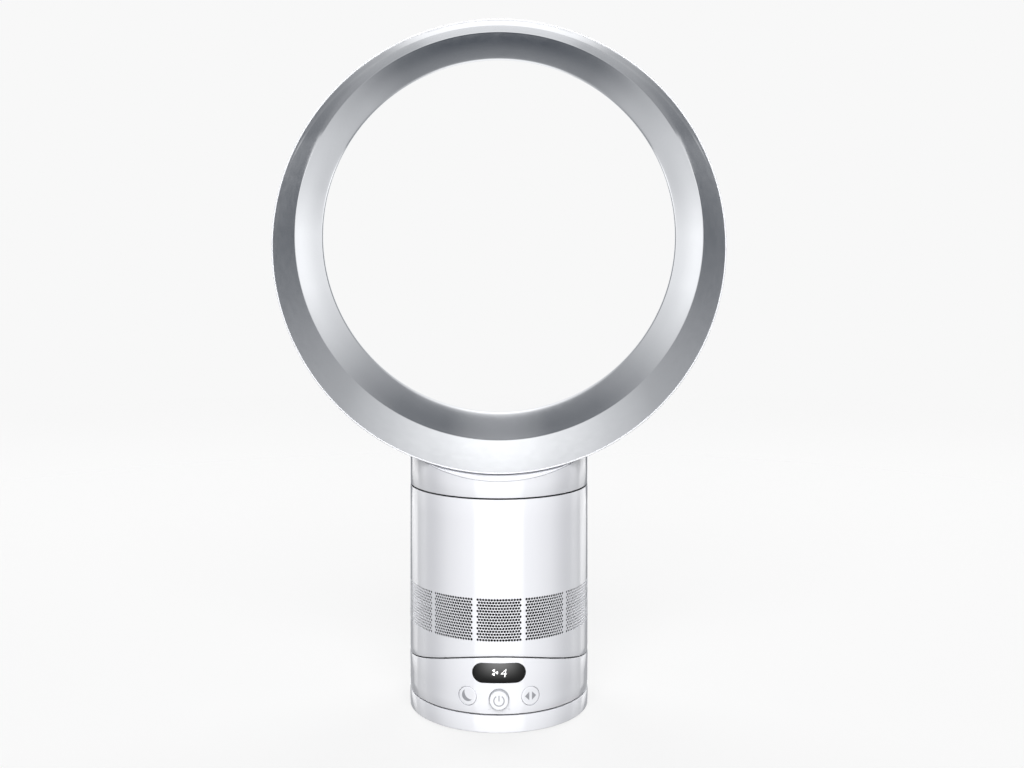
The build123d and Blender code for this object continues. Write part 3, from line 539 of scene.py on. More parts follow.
def along(tree, place, pairs):
    """The value at a place along a list of (place, value) pairs."""
    node = add(tree, "ShaderNodeValToRGB", {"Fac": place})
    node.color_ramp.interpolation = "LINEAR"
    elements = node.color_ramp.elements
    elements[0].position = pairs[0][0]
    elements[1].position = pairs[-1][0]
    for spot, _ in pairs[1:-1]:
        elements.new(spot)
    for element, (_, level) in zip(elements, pairs):
        element.color = (level, level, level, 1.0)
    return node.outputs["Color"]


def given_way(tree, value, span, before, after):
    """One light that gives way to another as a value crosses a span."""
    share = add(tree, "ShaderNodeMapRange", {"Value": value, "From Min": span[0], "From Max": span[1]},
                interpolation_type="SMOOTHSTEP")
    mix = add(tree, "ShaderNodeMix", {"Factor": share.outputs["Result"], "A": before, "B": after},
              data_type="RGBA")
    return mix.outputs["Result"]


def joint_length(tree, one, other):
    """Length of two parts of a direction together."""
    squares = []
    for part in (one, other):
        squares.append(add(tree, "ShaderNodeMath", {0: part, 1: part}, operation="MULTIPLY").outputs[0])
    total = add(tree, "ShaderNodeMath", {0: squares[0], 1: squares[1]}, operation="ADD").outputs[0]
    return add(tree, "ShaderNodeMath", {0: total}, operation="SQRT").outputs[0]


def build_world(scene, backdrop):
    """Soft studio surround with softboxes and dark gaps for the gloss to show."""
    world = bpy.data.worlds.new("studio")
    scene.world = world
    world.use_nodes = True
    tree = world.node_tree
    tree.nodes.clear()
    where = add(tree, "ShaderNodeTexCoord").outputs["Generated"]
    part = add(tree, "ShaderNodeSeparateXYZ", {0: where})
    x, y, z = part.outputs["X"], part.outputs["Y"], part.outputs["Z"]
    slope = add(tree, "ShaderNodeMath", {0: z, 1: joint_length(tree, x, z)}, operation="DIVIDE").outputs[0]
    rise = add(tree, "ShaderNodeMath", {0: slope, 1: 0.5, 2: 0.5}, operation="MULTIPLY_ADD").outputs[0]
    width = add(tree, "ShaderNodeMath", {0: x}, operation="ABSOLUTE").outputs[0]
    level = joint_length(tree, x, y)
    aside = add(tree, "ShaderNodeMath", {0: width, 1: level}, operation="DIVIDE").outputs[0]
    edge = along(tree, rise, EDGE_OF_NEAR)
    past = add(tree, "ShaderNodeMath", {0: y, 1: edge}, operation="SUBTRACT").outputs[0]
    behind = along(tree, rise, FURTHER_ROUND)
    for value, span, nearer in (
        (y, TO_BESIDE, along(tree, rise, BESIDE)),
        (y, TO_BETWEEN, along(tree, rise, BETWEEN)),
        (past, TO_NEAR, along(tree, rise, NEAR_STRAIGHT_BEHIND)),
        (y, TO_STRAIGHT, (STRAIGHT_BEHIND,) * 3 + (1.0,)),
    ):
        behind = given_way(tree, value, span, behind, nearer)
    room = given_way(tree, y, TO_BEHIND, along(tree, aside, BEFORE), behind)
    tinted = add(tree, "ShaderNodeVectorMath", {0: room, 1: GLOSS_TINT}, operation="ADD").outputs[0]
    gloss = add(tree, "ShaderNodeBackground", {"Color": tinted, "Strength": 1.0})
    bounce = add(tree, "ShaderNodeMapRange", {
        "Value": z, "From Min": -0.9, "From Max": -0.3, "To Min": 0.45, "To Max": 0.03}).outputs["Result"]
    fill = add(tree, "ShaderNodeBackground", {"Color": (1.0, 1.0, 1.0, 1.0), "Strength": bounce})
    paper = add(tree, "ShaderNodeBackground", {"Color": backdrop, "Strength": 1.0})
    rays = add(tree, "ShaderNodeLightPath")
    lit = add(tree, "ShaderNodeMixShader", {
        "Fac": rays.outputs["Is Glossy Ray"], 1: fill.outputs["Background"], 2: gloss.outputs["Background"]})
    mix = add(tree, "ShaderNodeMixShader", {
        "Fac": rays.outputs["Is Camera Ray"], 1: lit.outputs["Shader"], 2: paper.outputs["Background"]})
    add(tree, "ShaderNodeOutputWorld", {"Surface": mix.outputs["Shader"]})


def build_lights(scene):
    """Large softboxes: one before the fan and a pair behind it, as (name, place, size, power)."""
    boxes = [
        ("front_key", (0.0, -2.25, 1.4), 2.0, 92.0),
        ("left_rear_key", (-1.02, 1.22, 1.24), 1.2, 21.5),
        ("right_rear_key", (1.02, 1.22, 1.24), 1.2, 21.5),
    ]
    for name, place, size, power in boxes:
        data = bpy.data.lights.new(name, "AREA")
        data.shape = "SQUARE"
        data.size = size
        data.energy = power
        light = bpy.data.objects.new(name, data)
        scene.collection.objects.link(light)
        aim = Vector((0.0, 0.0, 0.2)) - Vector(place)
        light.matrix_world = Matrix.Translation(place) @ aim.to_track_quat("-Z", "Y").to_matrix().to_4x4()
        light.visible_camera = False
        light.visible_glossy = False


def build_camera(scene):
    """Camera level with the middle of the ring, shifted down to take in the foot."""
    data = bpy.data.cameras.new("studio_camera")
    data.sensor_width = 36.0
    data.lens = 44.29
    data.shift_x = 0.0127
    data.shift_y = -0.1401
    data.dof.use_dof = False
    data.clip_start = 0.05
    camera = bpy.data.objects.new("studio_camera", data)
    scene.collection.objects.link(camera)
    camera.location = (0.0, -0.8894, 0.3245)
    camera.rotation_euler = (math.pi / 2, 0.0, 0.0)
    scene.camera = camera


# ---- ring -----------------------------------------------------------------------------------------
SHELL_WALL = 1.5      # ring shell
SHELL_NOSE = 0.55     # rounding of its front edge
NOSE_WALL = 1.0       # shell at its front edge
NOSE_DEPTH = 4.6      # how far back the thinner front edge reaches
SHELL_ROUND = 19.7    # depth of the rounding behind the ring
LIP_STEP = 2.0        # from the bore out to the shell's lip
LIP_IN = 6.5          # how far the lip turns back into the ring


def shell_outside(steps):
    """Circles of the ring shell's outside from the front to the lip, as (depth, radius, centre height)."""
    front, back = corner("loop_shell", 0, 1), corner("loop_shell", 1, 1)
    radius, height = millimetres("ring_radius"), millimetres("ring_height")
    start = back - SHELL_ROUND
    fall = radius - millimetres("bore_radius") - LIP_STEP
    rise = millimetres("bore_rise")
    nose = SHELL_NOSE
    rows = []
    for k in range(5):
        turn = math.pi / 2 * k / 4
        rows.append((front + nose - nose * math.cos(turn), radius - nose + nose * math.sin(turn), height))
    rows += [(front + (start - front) * k / 6, radius, height) for k in range(1, 7)]
    for k in range(1, steps + 1):
        turn = math.pi / 2 * k / steps
        share = 0.5 * (1 - math.cos(turn))
        rows.append((start + (back - start) * math.sin(turn), radius - fall * share, height + rise * share))
    for k in range(1, 9):
        share = 0.5 + 0.5 * k / 8
        turned_in = LIP_IN * ((share - 0.5) / 0.5) ** 2
        rows.append((back - turned_in, radius - fall * share, height + rise * share))
    return rows


def set_in(rows, wall):
    """The same circles moved inwards by a wall, square to the section."""
    moved = []
    for k, (depth, radius, height) in enumerate(rows):
        before, after = rows[max(k - 1, 0)], rows[min(k + 1, len(rows) - 1)]
        along, across = after[0] - before[0], after[1] - before[1]
        size = math.hypot(along, across)
        moved.append((depth + wall * across / size, radius - wall * along / size, height))
    return moved


def as_ring(rows):
    """Circles about the depth axis for skinned()."""
    return [(radius, (0, depth, height)) for depth, radius, height in rows]


class FAN_OT_loop_shell(bpy.types.Operator):
    """Builds the ring's white outer shell, rounded behind and ending at the outlet's lip"""

    bl_idname = "fan.loop_shell"
    bl_label = "Ring shell"

    def execute(self, context):
        outside = shell_outside(24)
        depth, radius, height = outside[0]
        inside = [row for row in set_in(outside, SHELL_WALL) if row[0] > depth + NOSE_DEPTH]
        lip = radius + SHELL_NOSE - NOSE_WALL
        inside = [(depth, lip + 0.2, height), (depth + 0.06, lip + 0.06, height), (depth + 0.2, lip, height),
                  (depth + 4.2, lip, height)] + inside
        mesh = turned(as_ring(outside + inside[::-1]), turn=UPRIGHT, close=True)
        settle(mesh, "ring_shell", "moulded_white_abs", "tilt_body", ["loop_shell"])
        return {"FINISHED"}


class FAN_OT_loop_shroud(bpy.types.Operator):
    """Builds the metallised band inside the ring: front guide, crease, diffuser and the curl at the outlet"""

    bl_idname = "fan.loop_shroud"
    bl_label = "Ring shroud"

    def execute(self, context):
        front = corner("loop_shroud", 0, 1)
        low, rise = millimetres("ring_height"), millimetres("bore_rise")
        rim = millimetres("ring_radius") - 1.05
        crease, crest = millimetres("crease_radius"), millimetres("bore_radius")
        crease_y, crest_y, curl = -4.0, 30.5, 5.0
        rows = [(front + 0.5, rim, low), (front, rim, low)]
        for place in (0.0, 0.03, 0.15, 0.3, 0.45, 0.6, 0.75, 0.88, 0.96, 0.985):
            rows.append((front + (crease_y - front) * place, rim - 0.06 - (rim - 0.06 - crease) * place,
                         low + rise * place))
        rows.append((crease_y, crease - 0.03, low + rise))
        falls = self.diffuser(crest_y - 2.1 - crease_y)
        for along, fall in falls:
            rows.append((crease_y + along, crease - (crease - crest) * fall / falls[-1][1], low + rise))
        rows.append((crest_y, crest, low + rise))
        for k in range(1, 15):
            turn = math.radians(-90 + 128 * k / 14)
            rows.append((crest_y + curl * math.cos(turn), crest + curl + curl * math.sin(turn), low + rise))
        rows += [
            (crest_y + 2.5, crest + curl + 2.0, low + rise),
            (crest_y + 3.1, crest + curl, low + rise),
            (crest_y + 2.0, crest + curl * 0.55, low + rise),
            (crest_y, crest + 1.8, low + rise),
            (crest_y - 6.0, crest + 3.0, low + rise),
            (crest_y - 11.8, crest + 5.6, low + rise),
            (crease_y, crease + 0.85, low + rise - 0.1),
            (front + 4.0, rim - 0.65, low),
        ]
        mesh = turned(as_ring(rows), turn=UPRIGHT, close=True)
        settle(mesh, "ring_shroud", "metallised_satin_nickel", "tilt_body",
               ["loop_shroud"], 50.0)
        return {"FINISHED"}

    def diffuser(self, reach):
        """Points (along, fall) of the inner band: it eases from 29.6 to 23 degrees, then rounds off level."""
        steep, gentle, nose = 29.6, 23.0, 8.0
        straight = reach - nose * math.sin(math.radians(gentle))
        points, fall, last = [(0.5, 0.5 * math.tan(math.radians(steep)))], 0.0, 0.0
        for k in range(1, 19):
            along = straight * k / 18
            middle = (along + last) / 2
            fall += (along - last) * math.tan(math.radians(steep + (gentle - steep) * middle / straight))
            points.append((along, fall))
            last = along
        for k in range(1, 9):
            turn = math.radians(gentle * (1 - k / 8))
            points.append((reach - nose * math.sin(turn),
                           fall + nose * (math.cos(turn) - math.cos(math.radians(gentle)))))
        return points


class FAN_OT_loop_neck(bpy.types.Operator):
    """Builds the collar that carries the ring, its top cut to the ring's curve"""

    bl_idname = "fan.loop_neck"
    bl_label = "Collar"

    def execute(self, context):
        radius, wall, edge = millimetres("body_radius"), millimetres("wall"), millimetres("edge_round")
        low = corner("body_casing", 1, 2) + COLLAR_GAP
        saddle = millimetres("ring_radius") + SADDLE_GAP
        axis = millimetres("ring_height")
        groove, flange = 1.2, 9.0
        # (radius, height above the saddle) for the top, plain heights for the rest
        top = [(radius, -6.0), (radius, -0.95), (radius - groove, -0.95), (radius - groove, -0.6),
               (radius - 0.02, -0.6), (radius - 0.1, -0.25), (radius - 0.4, 0.0)]
        top += [(radius - 4.0 * k, 0.0) for k in range(1, 9)]
        top += [(radius - 32.0, -wall), (radius - wall - 6.0, -wall), (radius - wall, -wall)]
        foot = [(radius - wall, low + wall), (radius - flange, low + wall), (radius - flange, low)]
        foot += broken_edge(radius, low, edge)
        rows = [(r, (0, 0, low + 10 + k)) for k, (r, drop) in enumerate(top)]
        rows += [(r, (0, 0, z)) for r, z in foot]
        bm = bmesh.new()
        loops = skinned(bm, rows, STILL, close=True)
        for (r, drop), verts in zip(top, loops):
            for vert in verts:
                vert.co.z = axis - math.sqrt(saddle * saddle - vert.co.x * vert.co.x) + drop
        mesh = flat_mesh(bm)
        settle(mesh, "ring_collar", "moulded_white_abs", "tilt_body", ["loop_neck"])
        return {"FINISHED"}


# ---- body -----------------------------------------------------------------------------------------
class FAN_OT_body_casing(bpy.types.Operator):
    """Builds the tilting body's casing with its band of fine round inlet holes"""

    bl_idname = "fan.body_casing"
    bl_label = "Body casing"

    panels = 12
    columns = 31          # half pitches across a panel's holes
    half_pitch = 0.87     # degrees
    rows = 15
    row_step = 1.885
    first_row = 61.9      # height of the lowest row
    under_rows = 7        # levels of vertices under it
    casing_wall = 0.5

    def across(self):
        """Angle of every column of vertices round the body, with its place in its panel."""
        turns = []
        for panel in range(self.panels):
            middle = 360 * (panel - self.panels / 2) / self.panels
            reach = self.half_pitch * (self.columns - 1) / 2
            turns += [(middle - reach + self.half_pitch * k, k) for k in range(self.columns)]
            gap = 360 / self.panels - 2 * reach
            turns += [(middle + reach + gap * k / 5, None) for k in range(1, 5)]
        return turns + [(turns[0][0] + 360, None)]

    def execute(self, context):
        radius, edge = millimetres("body_radius"), millimetres("edge_round")
        top = corner("body_casing", 1, 2)
        drum = millimetres("tilt_radius") - TILT_GAP
        turns = self.across()
        start = self.first_row - self.row_step / 2
        end = self.first_row + self.row_step * (self.rows - 0.5)
        grille = [self.first_row + self.row_step * k for k in range(self.rows)]
        levels = [0.0, 0.4, 1.6, 12.0, 30.0, 48.0, start] + grille
        levels += [end, 105.0, 125.0, 140.0, top - edge * 1.5, top - edge * 0.3, top]
        bm = bmesh.new()
        bmesh.ops.create_grid(bm, x_segments=len(turns) - 1, y_segments=len(levels) - 1, size=0.5)
        holes = []
        for vert in bm.verts:
            column = round((vert.co.x + 0.5) * (len(turns) - 1))
            level = round((vert.co.y + 0.5) * (len(levels) - 1))
            turn, place = turns[column]
            vert.co = Vector((math.radians(turn) * radius, levels[level], 0.0))
            row = level - self.under_rows
            if place is not None and 0 <= row < self.rows and place % 2 == row % 2:
                holes.append(vert)
        opened = bmesh.ops.bevel(
            bm, geom=holes, offset=millimetres("perforation") / 2, offset_type="OFFSET", affect="VERTICES",
            segments=1, profile=0.5, material=-1)
        sides = list({edge for face in opened["faces"] for edge in face.edges})
        bmesh.ops.bisect_edges(bm, edges=sides, cuts=1)
        for face in opened["faces"]:
            centre = face.calc_center_median()
            for vert in face.verts:
                vert.co = centre + (vert.co - centre).normalized() * millimetres("perforation") / 2
        bmesh.ops.delete(bm, geom=opened["faces"], context="FACES_ONLY")
        for vert in bm.verts:
            turn, height = vert.co.x / radius, vert.co.y
            out = radius
            if height < 0.2 or height > top - 0.01:
                out = radius - edge
            elif height < 0.6 or height > top - edge * 0.5:
                out = radius - edge * 0.3
            depth = -radius * math.cos(turn)
            if height < start - 0.01:
                low = seam_height(drum, depth)
                height = low + height * (start - low) / start
            vert.co = Vector((out * math.sin(turn), -out * math.cos(turn), height))
        bmesh.ops.remove_doubles(bm, verts=bm.verts, dist=0.001)
        bmesh.ops.recalc_face_normals(bm, faces=bm.faces)
        probe = max(bm.faces, key=lambda face: -face.calc_center_median().y)
        if probe.normal.y > 0:
            bmesh.ops.reverse_faces(bm, faces=bm.faces)
        bmesh.ops.solidify(bm, geom=bm.faces, thickness=self.casing_wall)
        settle(flat_mesh(bm), "perforated_casing", "moulded_white_abs", "tilt_body",
               ["body_casing"], 50.0)
        return {"FINISHED"}


def pill_prism(width, height, y0, y1, middle):
    """Stadium-shaped bar along the depth axis, centred at a height."""
    bm = bmesh.new()
    made = bmesh.ops.create_circle(bm, cap_ends=True, radius=height / 2, segments=SMALL_ROUND)
    for vert in made["verts"]:
        vert.co.x += math.copysign((width - height) / 2, vert.co.x)
    bmesh.ops.rotate(bm, cent=(0, 0, 0), matrix=UPRIGHT.to_3x3(), verts=bm.verts)
    bmesh.ops.translate(bm, vec=(0, y0, middle), verts=bm.verts)
    grown = bmesh.ops.extrude_face_region(bm, geom=bm.faces)
    moved = [item for item in grown["geom"] if isinstance(item, bmesh.types.BMVert)]
    bmesh.ops.translate(bm, vec=(0, y1 - y0, 0), verts=moved)
    return flat_mesh(bm)


def out_of_body(turn, height):
    """Frame on the body's axis at a height, its Z axis pointing out at an angle from the front."""
    out = Vector((math.sin(math.radians(turn)), -math.cos(math.radians(turn)), 0.0))
    across = Vector((-out.y, out.x, 0.0))
    frame_3 = Matrix((across, Vector((0, 0, 1)), out)).transposed()
    return Matrix.Translation((0, 0, height)) @ frame_3.to_4x4()


def radial_rod(turn, height, radius, start, end):
    """Round bar pointing out of the body."""
    return turned([(radius, (0, 0, start)), (radius, (0, 0, end))], out_of_body(turn, height),
                  sides=SMALL_ROUND, caps=(True, True))


class FAN_OT_base_casing(bpy.types.Operator):
    """Builds the swinging base's casing with openings for the display, the buttons and the knob"""

    bl_idname = "fan.base_casing"
    bl_label = "Base casing"

    def execute(self, context):
        radius, wall, edge = millimetres("body_radius"), millimetres("wall"), millimetres("edge_round")
        low = corner("base_casing", 0, 2)
        drum = millimetres("tilt_radius") + TILT_GAP
        side = broken_edge(radius, low, edge) + [(radius, 20.0), (radius, 28.0)]
        top = [(radius, -edge * 1.6), (radius - edge * 0.3, -edge * 0.5), (radius - edge, 0.0),
               (radius - wall, 0.0)]
        rows = [(r, (0, 0, z)) for r, z in side]
        rows += [(r, (0, 0, 30.0 + k)) for k, (r, drop) in enumerate(top)]
        rows.append((radius - wall, (0, 0, low)))
        bm = bmesh.new()
        loops = skinned(bm, rows, close=True)
        for (r, drop), verts in zip(top, loops[len(side):]):
            for vert in verts:
                vert.co.z = seam_height(drum, vert.co.y) + drop
        button, knob = millimetres("button_radius") + BUTTON_PLAY, millimetres("knob_radius") + KNOB_PLAY
        cuts = [pill_prism(*DISPLAY_SIZE, -radius - 2, -radius + 9, DISPLAY_Z)]
        for turn, height, size in (
            (-BUTTON_TURN, BUTTON_Z, button), (BUTTON_TURN, BUTTON_Z, button), (0.0, KNOB_Z, knob)
        ):
            cuts.append(radial_rod(turn, height, size, radius - 9, radius + 4))
        mesh = carved(flat_mesh(bm), cuts)
        settle(mesh, "control_casing", "moulded_white_abs", "base", ["base_casing"])
        return {"FINISHED"}


class FAN_OT_foot_shell(bpy.types.Operator):
    """Builds the foot with its rounded lower edge and the hole for the power inlet"""

    bl_idname = "fan.foot_shell"
    bl_label = "Foot"

    def execute(self, context):
        radius, wall, edge = millimetres("body_radius"), millimetres("wall"), millimetres("edge_round")
        rim, soft = corner("foot_shell", 0, 2), 0.7
        cover = corner("foot_cover", 1, 0) + 0.1
        top = corner("base_casing", 0, 2) - FOOT_GAP
        hub, bore = 12.0, 8.5
        rows = [(cover, rim)]
        for k in range(13):
            turn = math.radians(-90 + 90 * k / 12)
            rows.append((radius - soft + soft * math.cos(turn), rim + soft + soft * math.sin(turn)))
        rows += broken_edge(radius, top, -edge)[::-1]
        rows += [(radius - 0.9, top), (radius - 1.0, top - 1.5), (radius - 9.0, top - 1.5),
                 (radius - 9.4, top), (hub, top), (hub, top + 7.1), (hub - 2, top + 7.1),
                 (hub - 2, top + 14.0), (bore, top + 14.0), (bore, top - wall), (radius - wall, top - wall),
                 (radius - wall, rim + 5.5), (cover, rim + 2.3)]
        shell = turned([(r, (0, 0, z)) for r, z in rows], close=True)
        jack = (corner("dc_inlet_jack", 0, 2) + corner("dc_inlet_jack", 1, 2)) / 2
        inlet = radial_rod(180.0, jack, 3.6, radius - 12, radius + 2)
        mesh = carved(shell, [inlet])
        settle(mesh, "foot_moulding", "moulded_white_abs", "foot", ["foot_shell"])
        return {"FINISHED"}


# ---- controls -------------------------------------------------------------------------------------
INK = 0.05            # thickness of a printed or lit mark
PROUD = 0.02          # how far it stands out of its surface
FINE_EDGE = 1.1       # longer edges of a mark are divided, so that it bends with the body
LENS_WALL = 1.45
BLADE = (0.35, 2.15)  # inner and outer radius of the fan symbol's blades
MOON = (3.98, (0.1, 0.5))       # radius and centre of the crescent's outside
MOON_BITE = (4.65, (2.6, 2.5))  # and of what is cut out of it
ARROW = (3.0, 5.6)    # length and width
ARROW_GAP = 0.95      # from the middle to an arrow's back
POWER_RING = (3.02, 3.72)       # inner and outer radius of the power mark's ring
STROKE = 0.42         # width of the minus and plus by the dial
DIAL_MARK_Z = -7.05   # their height from the knob's middle


def printed(bm, turn, height, radius, bend=True):
    """Lays a flat shape in millimetres on the body, as a thin layer standing a little proud."""
    bmesh.ops.triangulate(bm, faces=bm.faces)
    for _ in range(2):
        long = [edge for edge in bm.edges if edge.calc_length() > FINE_EDGE]
        if long:
            bmesh.ops.subdivide_edges(bm, edges=long, cuts=2)
            bmesh.ops.triangulate(bm, faces=bm.faces)
    bmesh.ops.recalc_face_normals(bm, faces=bm.faces)
    if bm.faces[:] and bm.faces[0].normal.z < 0:
        bmesh.ops.reverse_faces(bm, faces=bm.faces)
    grown = bmesh.ops.extrude_face_region(bm, geom=bm.faces)
    moved = [item for item in grown["geom"] if isinstance(item, bmesh.types.BMVert)]
    bmesh.ops.translate(bm, vec=(0, 0, INK), verts=moved)
    for vert in bm.verts:
        fall = radius - math.sqrt(radius * radius - vert.co.x * vert.co.x) if bend else 0.0
        vert.co.z += radius + PROUD - INK - fall
    bmesh.ops.transform(bm, matrix=out_of_body(turn, height), verts=bm.verts)
    return flat_mesh(bm)


def joined(meshes):
    """One mesh of several."""
    bm = bmesh.new()
    for mesh in meshes:
        bm.from_mesh(mesh)
    made = bpy.data.meshes.new("joined")
    bm.to_mesh(made)
    bm.free()
    return made


class FAN_OT_display(bpy.types.Operator):
    """Builds the smoked window and the lit marks of the display"""

    bl_idname = "fan.display"
    bl_label = "Display"

    def execute(self, context):
        radius = millimetres("body_radius")
        outer = radius - 0.05
        inner, low, high = outer - LENS_WALL, DISPLAY_Z - 12, DISPLAY_Z + 12
        rows = [(outer, (0, 0, low)), (outer, (0, 0, high)), (inner, (0, 0, high)), (inner, (0, 0, low))]
        pill = pill_prism(DISPLAY_SIZE[0] - 0.2, DISPLAY_SIZE[1] - 0.2, -radius - 2, -radius + 9, DISPLAY_Z)
        mesh = carved(turned(rows, close=True), [pill], "INTERSECT")
        settle(mesh, "display_window", "smoked_polycarbonate", "base", ["display_lens"])
        marks = joined([self.blades(outer), self.level(outer)])
        settle(marks, "display_marks", "lit_display_white", "base")
        return {"FINISHED"}

    def blades(self, radius):
        """Three-bladed fan symbol."""
        bm = bmesh.new()
        for k in range(3):
            others = set(bm.verts)
            ends = [bm.verts.new((reach, 0, 0)) for reach in BLADE]
            edge = bm.edges.new(ends)
            bmesh.ops.spin(
                bm, geom=[*ends, edge], cent=(0, 0, 0), axis=(0, 0, 1), angle=math.radians(60), steps=8,
                dvec=(0, 0, 0))
            for vert in set(bm.verts) - others:
                swept = 18 * (1 - vert.co.xy.length / BLADE[1])
                vert.co = Matrix.Rotation(math.radians(-34 + 120 * k + swept), 4, "Z") @ vert.co
        bmesh.ops.translate(bm, vec=(-2.75, 0.45, 0), verts=bm.verts)
        return printed(bm, 0.0, DISPLAY_Z, radius)

    def level(self, radius):
        """The speed number."""
        curve = bpy.data.curves.new("level", "FONT")
        curve.body = "4"
        curve.size = 7.9
        curve.shear = 0.14
        curve.offset = -0.1
        curve.align_x = "CENTER"
        holder = bpy.data.objects.new("level", curve)
        bpy.context.scene.collection.objects.link(holder)
        graph = bpy.context.evaluated_depsgraph_get()
        mesh = bpy.data.meshes.new_from_object(holder.evaluated_get(graph))
        bpy.data.objects.remove(holder)
        bm = bmesh.new()
        bm.from_mesh(mesh)
        bmesh.ops.remove_doubles(bm, verts=bm.verts, dist=0.01)
        bmesh.ops.scale(bm, vec=(1.15, 1, 1), verts=bm.verts)
        bmesh.ops.translate(bm, vec=(2.8, -2.6, 0), verts=bm.verts)
        return printed(bm, 0.0, DISPLAY_Z, radius)


def thick_disc(radius, centre, low, high):
    """Short round bar along Z."""
    return turned([(radius, (*centre, low)), (radius, (*centre, high))], sides=SMALL_ROUND, caps=(True, True))


class FAN_OT_buttons(bpy.types.Operator):
    """Builds the two push buttons and the symbols printed on them"""

    bl_idname = "fan.buttons"
    bl_label = "Buttons"

    def execute(self, context):
        for name, body, turn, marks in (
            ("sleep_button", "sleep_key", -BUTTON_TURN, [self.moon(-BUTTON_TURN)]),
            ("oscillate_button", "oscillate_key", BUTTON_TURN, self.arrows(BUTTON_TURN)),
        ):
            settle(self.cap(turn), name + "_cap", "moulded_white_abs", body, [name])
            settle(joined(marks), name + "_mark", "pad_printed_grey", body)
        return {"FINISHED"}

    def cap(self, turn):
        """Round cap flush with the body, with its flange behind the wall."""
        radius, wall, size = millimetres("body_radius"), millimetres("wall"), millimetres("button_radius")
        face = [(0.4, 0.0)] + [(size * k / 8, 0.0) for k in range(1, 8)]
        face += [(size - 0.25, 0.0), (size - 0.07, -0.07), (size, -0.25)]
        back = [(size, -wall - 1.2), (size + 1.1, -wall - 1.2), (size + 1.1, -wall - 2.4), (0.4, -wall - 2.4)]
        bm = bmesh.new()
        rows = [(r, (0, 0, radius + drop)) for r, drop in face + back]
        loops = skinned(bm, rows, sides=SMALL_ROUND, poles=True)
        for verts in loops[:len(face) - 1]:
            for vert in verts:
                vert.co.z -= radius - math.sqrt(radius * radius - vert.co.x * vert.co.x)
        bmesh.ops.transform(bm, matrix=out_of_body(turn, BUTTON_Z), verts=bm.verts)
        return flat_mesh(bm)

    def moon(self, turn):
        """Crescent."""
        bm = bmesh.new()
        bm.from_mesh(carved(thick_disc(*MOON, 0.0, 1.0), [thick_disc(*MOON_BITE, -1.0, 2.0)]))
        bmesh.ops.recalc_face_normals(bm, faces=bm.faces)
        rest = [face for face in bm.faces if face.normal.z < 0.9]
        bmesh.ops.delete(bm, geom=rest, context="FACES")
        for vert in bm.verts:
            vert.co.z = 0.0
        return printed(bm, turn, BUTTON_Z, millimetres("body_radius"))

    def arrows(self, turn):
        """Two triangles pointing apart."""
        marks = []
        for side in (-1, 1):
            bm = bmesh.new()
            bmesh.ops.create_circle(bm, cap_ends=True, radius=1.0, segments=3)
            aim = Matrix.Rotation(-side * math.pi / 2, 3, "Z")
            bmesh.ops.rotate(bm, cent=(0, 0, 0), matrix=aim, verts=bm.verts)
            bmesh.ops.scale(bm, vec=(ARROW[0] / 1.5, ARROW[1] / math.sqrt(3), 1), verts=bm.verts)
            bmesh.ops.translate(bm, vec=(side * (ARROW_GAP + ARROW[0] / 3), 0, 0), verts=bm.verts)
            marks.append(printed(bm, turn, BUTTON_Z, millimetres("body_radius")))
        return marks


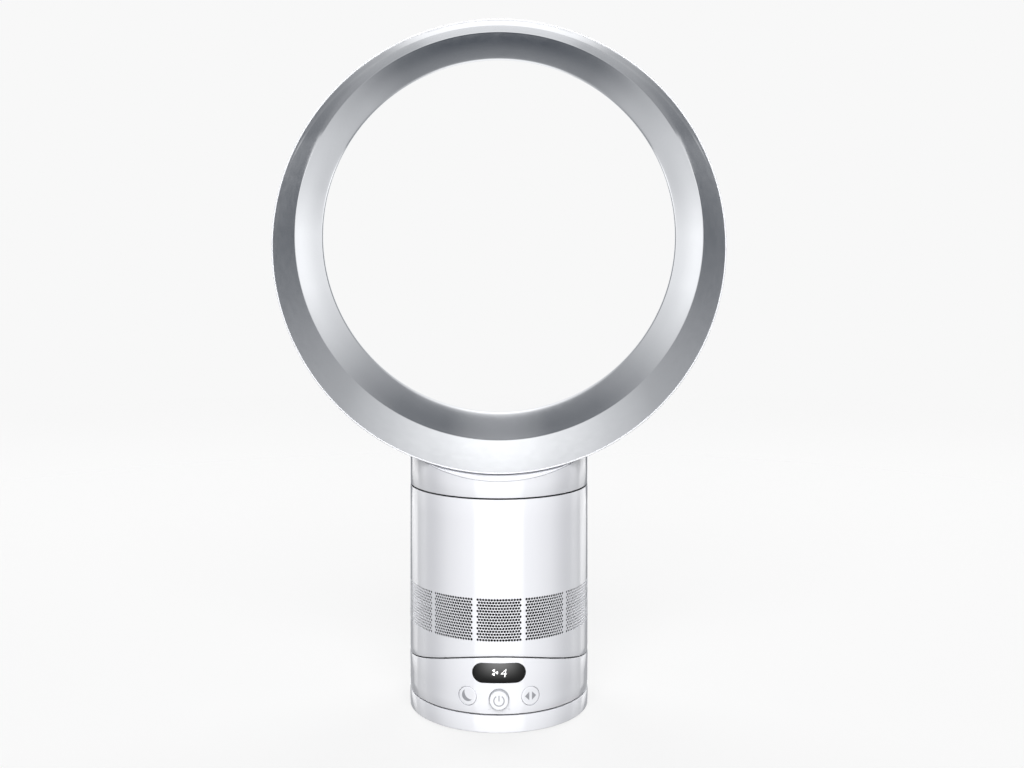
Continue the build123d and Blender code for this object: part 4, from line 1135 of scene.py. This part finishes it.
class FAN_OT_knob(bpy.types.Operator):
    """Builds the power knob and its symbol"""

    bl_idname = "fan.knob"
    bl_label = "Knob"

    def execute(self, context):
        radius, size = millimetres("body_radius"), millimetres("knob_radius")
        out = -corner("power_knob", 0, 1) - 0.03  # leaves room for the printed mark
        soft, skirt, size = 0.6, out - 1.1, size - 0.35
        place = out_of_body(0.0, KNOB_Z)
        rows = [(0.4, out)] + [(size * k / 4, out) for k in range(1, 4)]
        for k in range(9):
            turn = math.pi / 2 * k / 8
            rows.append((size - soft + soft * math.sin(turn), out - soft + soft * math.cos(turn)))
        rows += [(size, skirt), (size - 0.3, skirt), (size - 0.3, radius - 3.1), (2.2, radius - 3.1),
                 (2.2, radius + 1.2), (0.4, radius + 1.2)]
        cap = turned([(r, (0, 0, z)) for r, z in rows], place, sides=128, poles=True)
        settle(cap, "power_knob_cap", "moulded_white_abs", "dial", ["power_knob"])
        # painted shade: this grey band stands for the knob's side wall in shade, seen from above
        rows = [(size - 0.25, skirt - 0.05), (size + 0.22, skirt - 0.05), (size + 0.3, skirt - 0.12),
                (size + 0.3, radius - 2.0), (size - 0.25, radius - 2.0)]
        band = turned([(r, (0, 0, z)) for r, z in rows], place, sides=128, close=True)
        settle(band, "power_knob_shade_band", "painted_shade_band", "dial")
        bm = bmesh.new()
        ends = [bm.verts.new((reach, 0, 0)) for reach in POWER_RING]
        edge = bm.edges.new(ends)
        start = Matrix.Rotation(math.radians(123), 3, "Z")
        bmesh.ops.rotate(bm, cent=(0, 0, 0), matrix=start, verts=bm.verts)
        bmesh.ops.spin(bm, geom=[*ends, edge], cent=(0, 0, 0), axis=(0, 0, 1), angle=math.radians(294),
                       steps=56, dvec=(0, 0, 0))
        self.bar(bm, 0.7, 3.6, (0, 1.55))
        mark = printed(bm, 0.0, KNOB_Z, out, bend=False)
        settle(mark, "power_mark", "pale_pad_print", "dial")
        bm = bmesh.new()
        for middle in (-6.3, 6.7):
            self.bar(bm, 1.9, STROKE, (middle, DIAL_MARK_Z))
        for step in (0.56, -0.56):
            self.bar(bm, STROKE, 0.7, (6.7, DIAL_MARK_Z + step))
        settle(printed(bm, 0.0, KNOB_Z, radius), "dial_scale", "faint_pad_print", "base")
        return {"FINISHED"}

    def bar(self, bm, width, height, centre):
        """Flat bar of a mark."""
        made = bmesh.ops.create_grid(bm, x_segments=2, y_segments=2, size=0.5)
        bmesh.ops.scale(bm, vec=(width, height, 1), verts=made["verts"])
        bmesh.ops.translate(bm, vec=(*centre, 0), verts=made["verts"])


class FAN_OT_inner_parts(bpy.types.Operator):
    """Gives every CAD node that stays in view its finish"""

    bl_idname = "fan.inner_parts"
    bl_label = "Inner parts"

    def execute(self, context):
        for part in frame["record"]["subparts"]:
            node = frame["nodes"][part["node"]]
            if node.hide_render:
                continue
            made = finishes()[SLOT_FINISH[part["material_slot"]]]
            if not node.material_slots:
                node.data.materials.append(made)
            for slot in node.material_slots:
                slot.material = made
        return {"FINISHED"}


OPERATORS = (
    FAN_OT_stage,
    FAN_OT_loop_shell,
    FAN_OT_loop_shroud,
    FAN_OT_loop_neck,
    FAN_OT_body_casing,
    FAN_OT_base_casing,
    FAN_OT_foot_shell,
    FAN_OT_display,
    FAN_OT_buttons,
    FAN_OT_knob,
    FAN_OT_inner_parts,
)


class FAN_PT_panel(bpy.types.Panel):
    """Lists the steps that dress the fan"""

    bl_idname = "FAN_PT_panel"
    bl_label = "Ring Fan"
    bl_space_type = "VIEW_3D"
    bl_region_type = "UI"
    bl_category = "Ring Fan"

    def draw(self, context):
        for group in (context.scene.fan_form, context.scene.fan_finish):
            box = self.layout.box()
            for name in group.__annotations__:
                box.prop(group, name)
        for step in OPERATORS:
            self.layout.operator(step.bl_idname)


CLASSES = (FanForm, FanFinish) + OPERATORS + (FAN_PT_panel,)


def register():
    """Adds the classes, and their sizes and colours, to the scene."""
    for item in CLASSES:
        bpy.utils.register_class(item)
    bpy.types.Scene.fan_form = bpy.props.PointerProperty(type=FanForm)
    bpy.types.Scene.fan_finish = bpy.props.PointerProperty(type=FanFinish)


def unregister():
    """Takes out what register() added."""
    del bpy.types.Scene.fan_finish
    del bpy.types.Scene.fan_form
    for item in reversed(CLASSES):
        bpy.utils.unregister_class(item)


def main():
    """Dresses the frame."""
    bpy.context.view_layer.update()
    register()
    for step in OPERATORS:
        group, name = step.bl_idname.split(".")
        getattr(getattr(bpy.ops, group), name)()


if __name__ == "__main__":
    main()
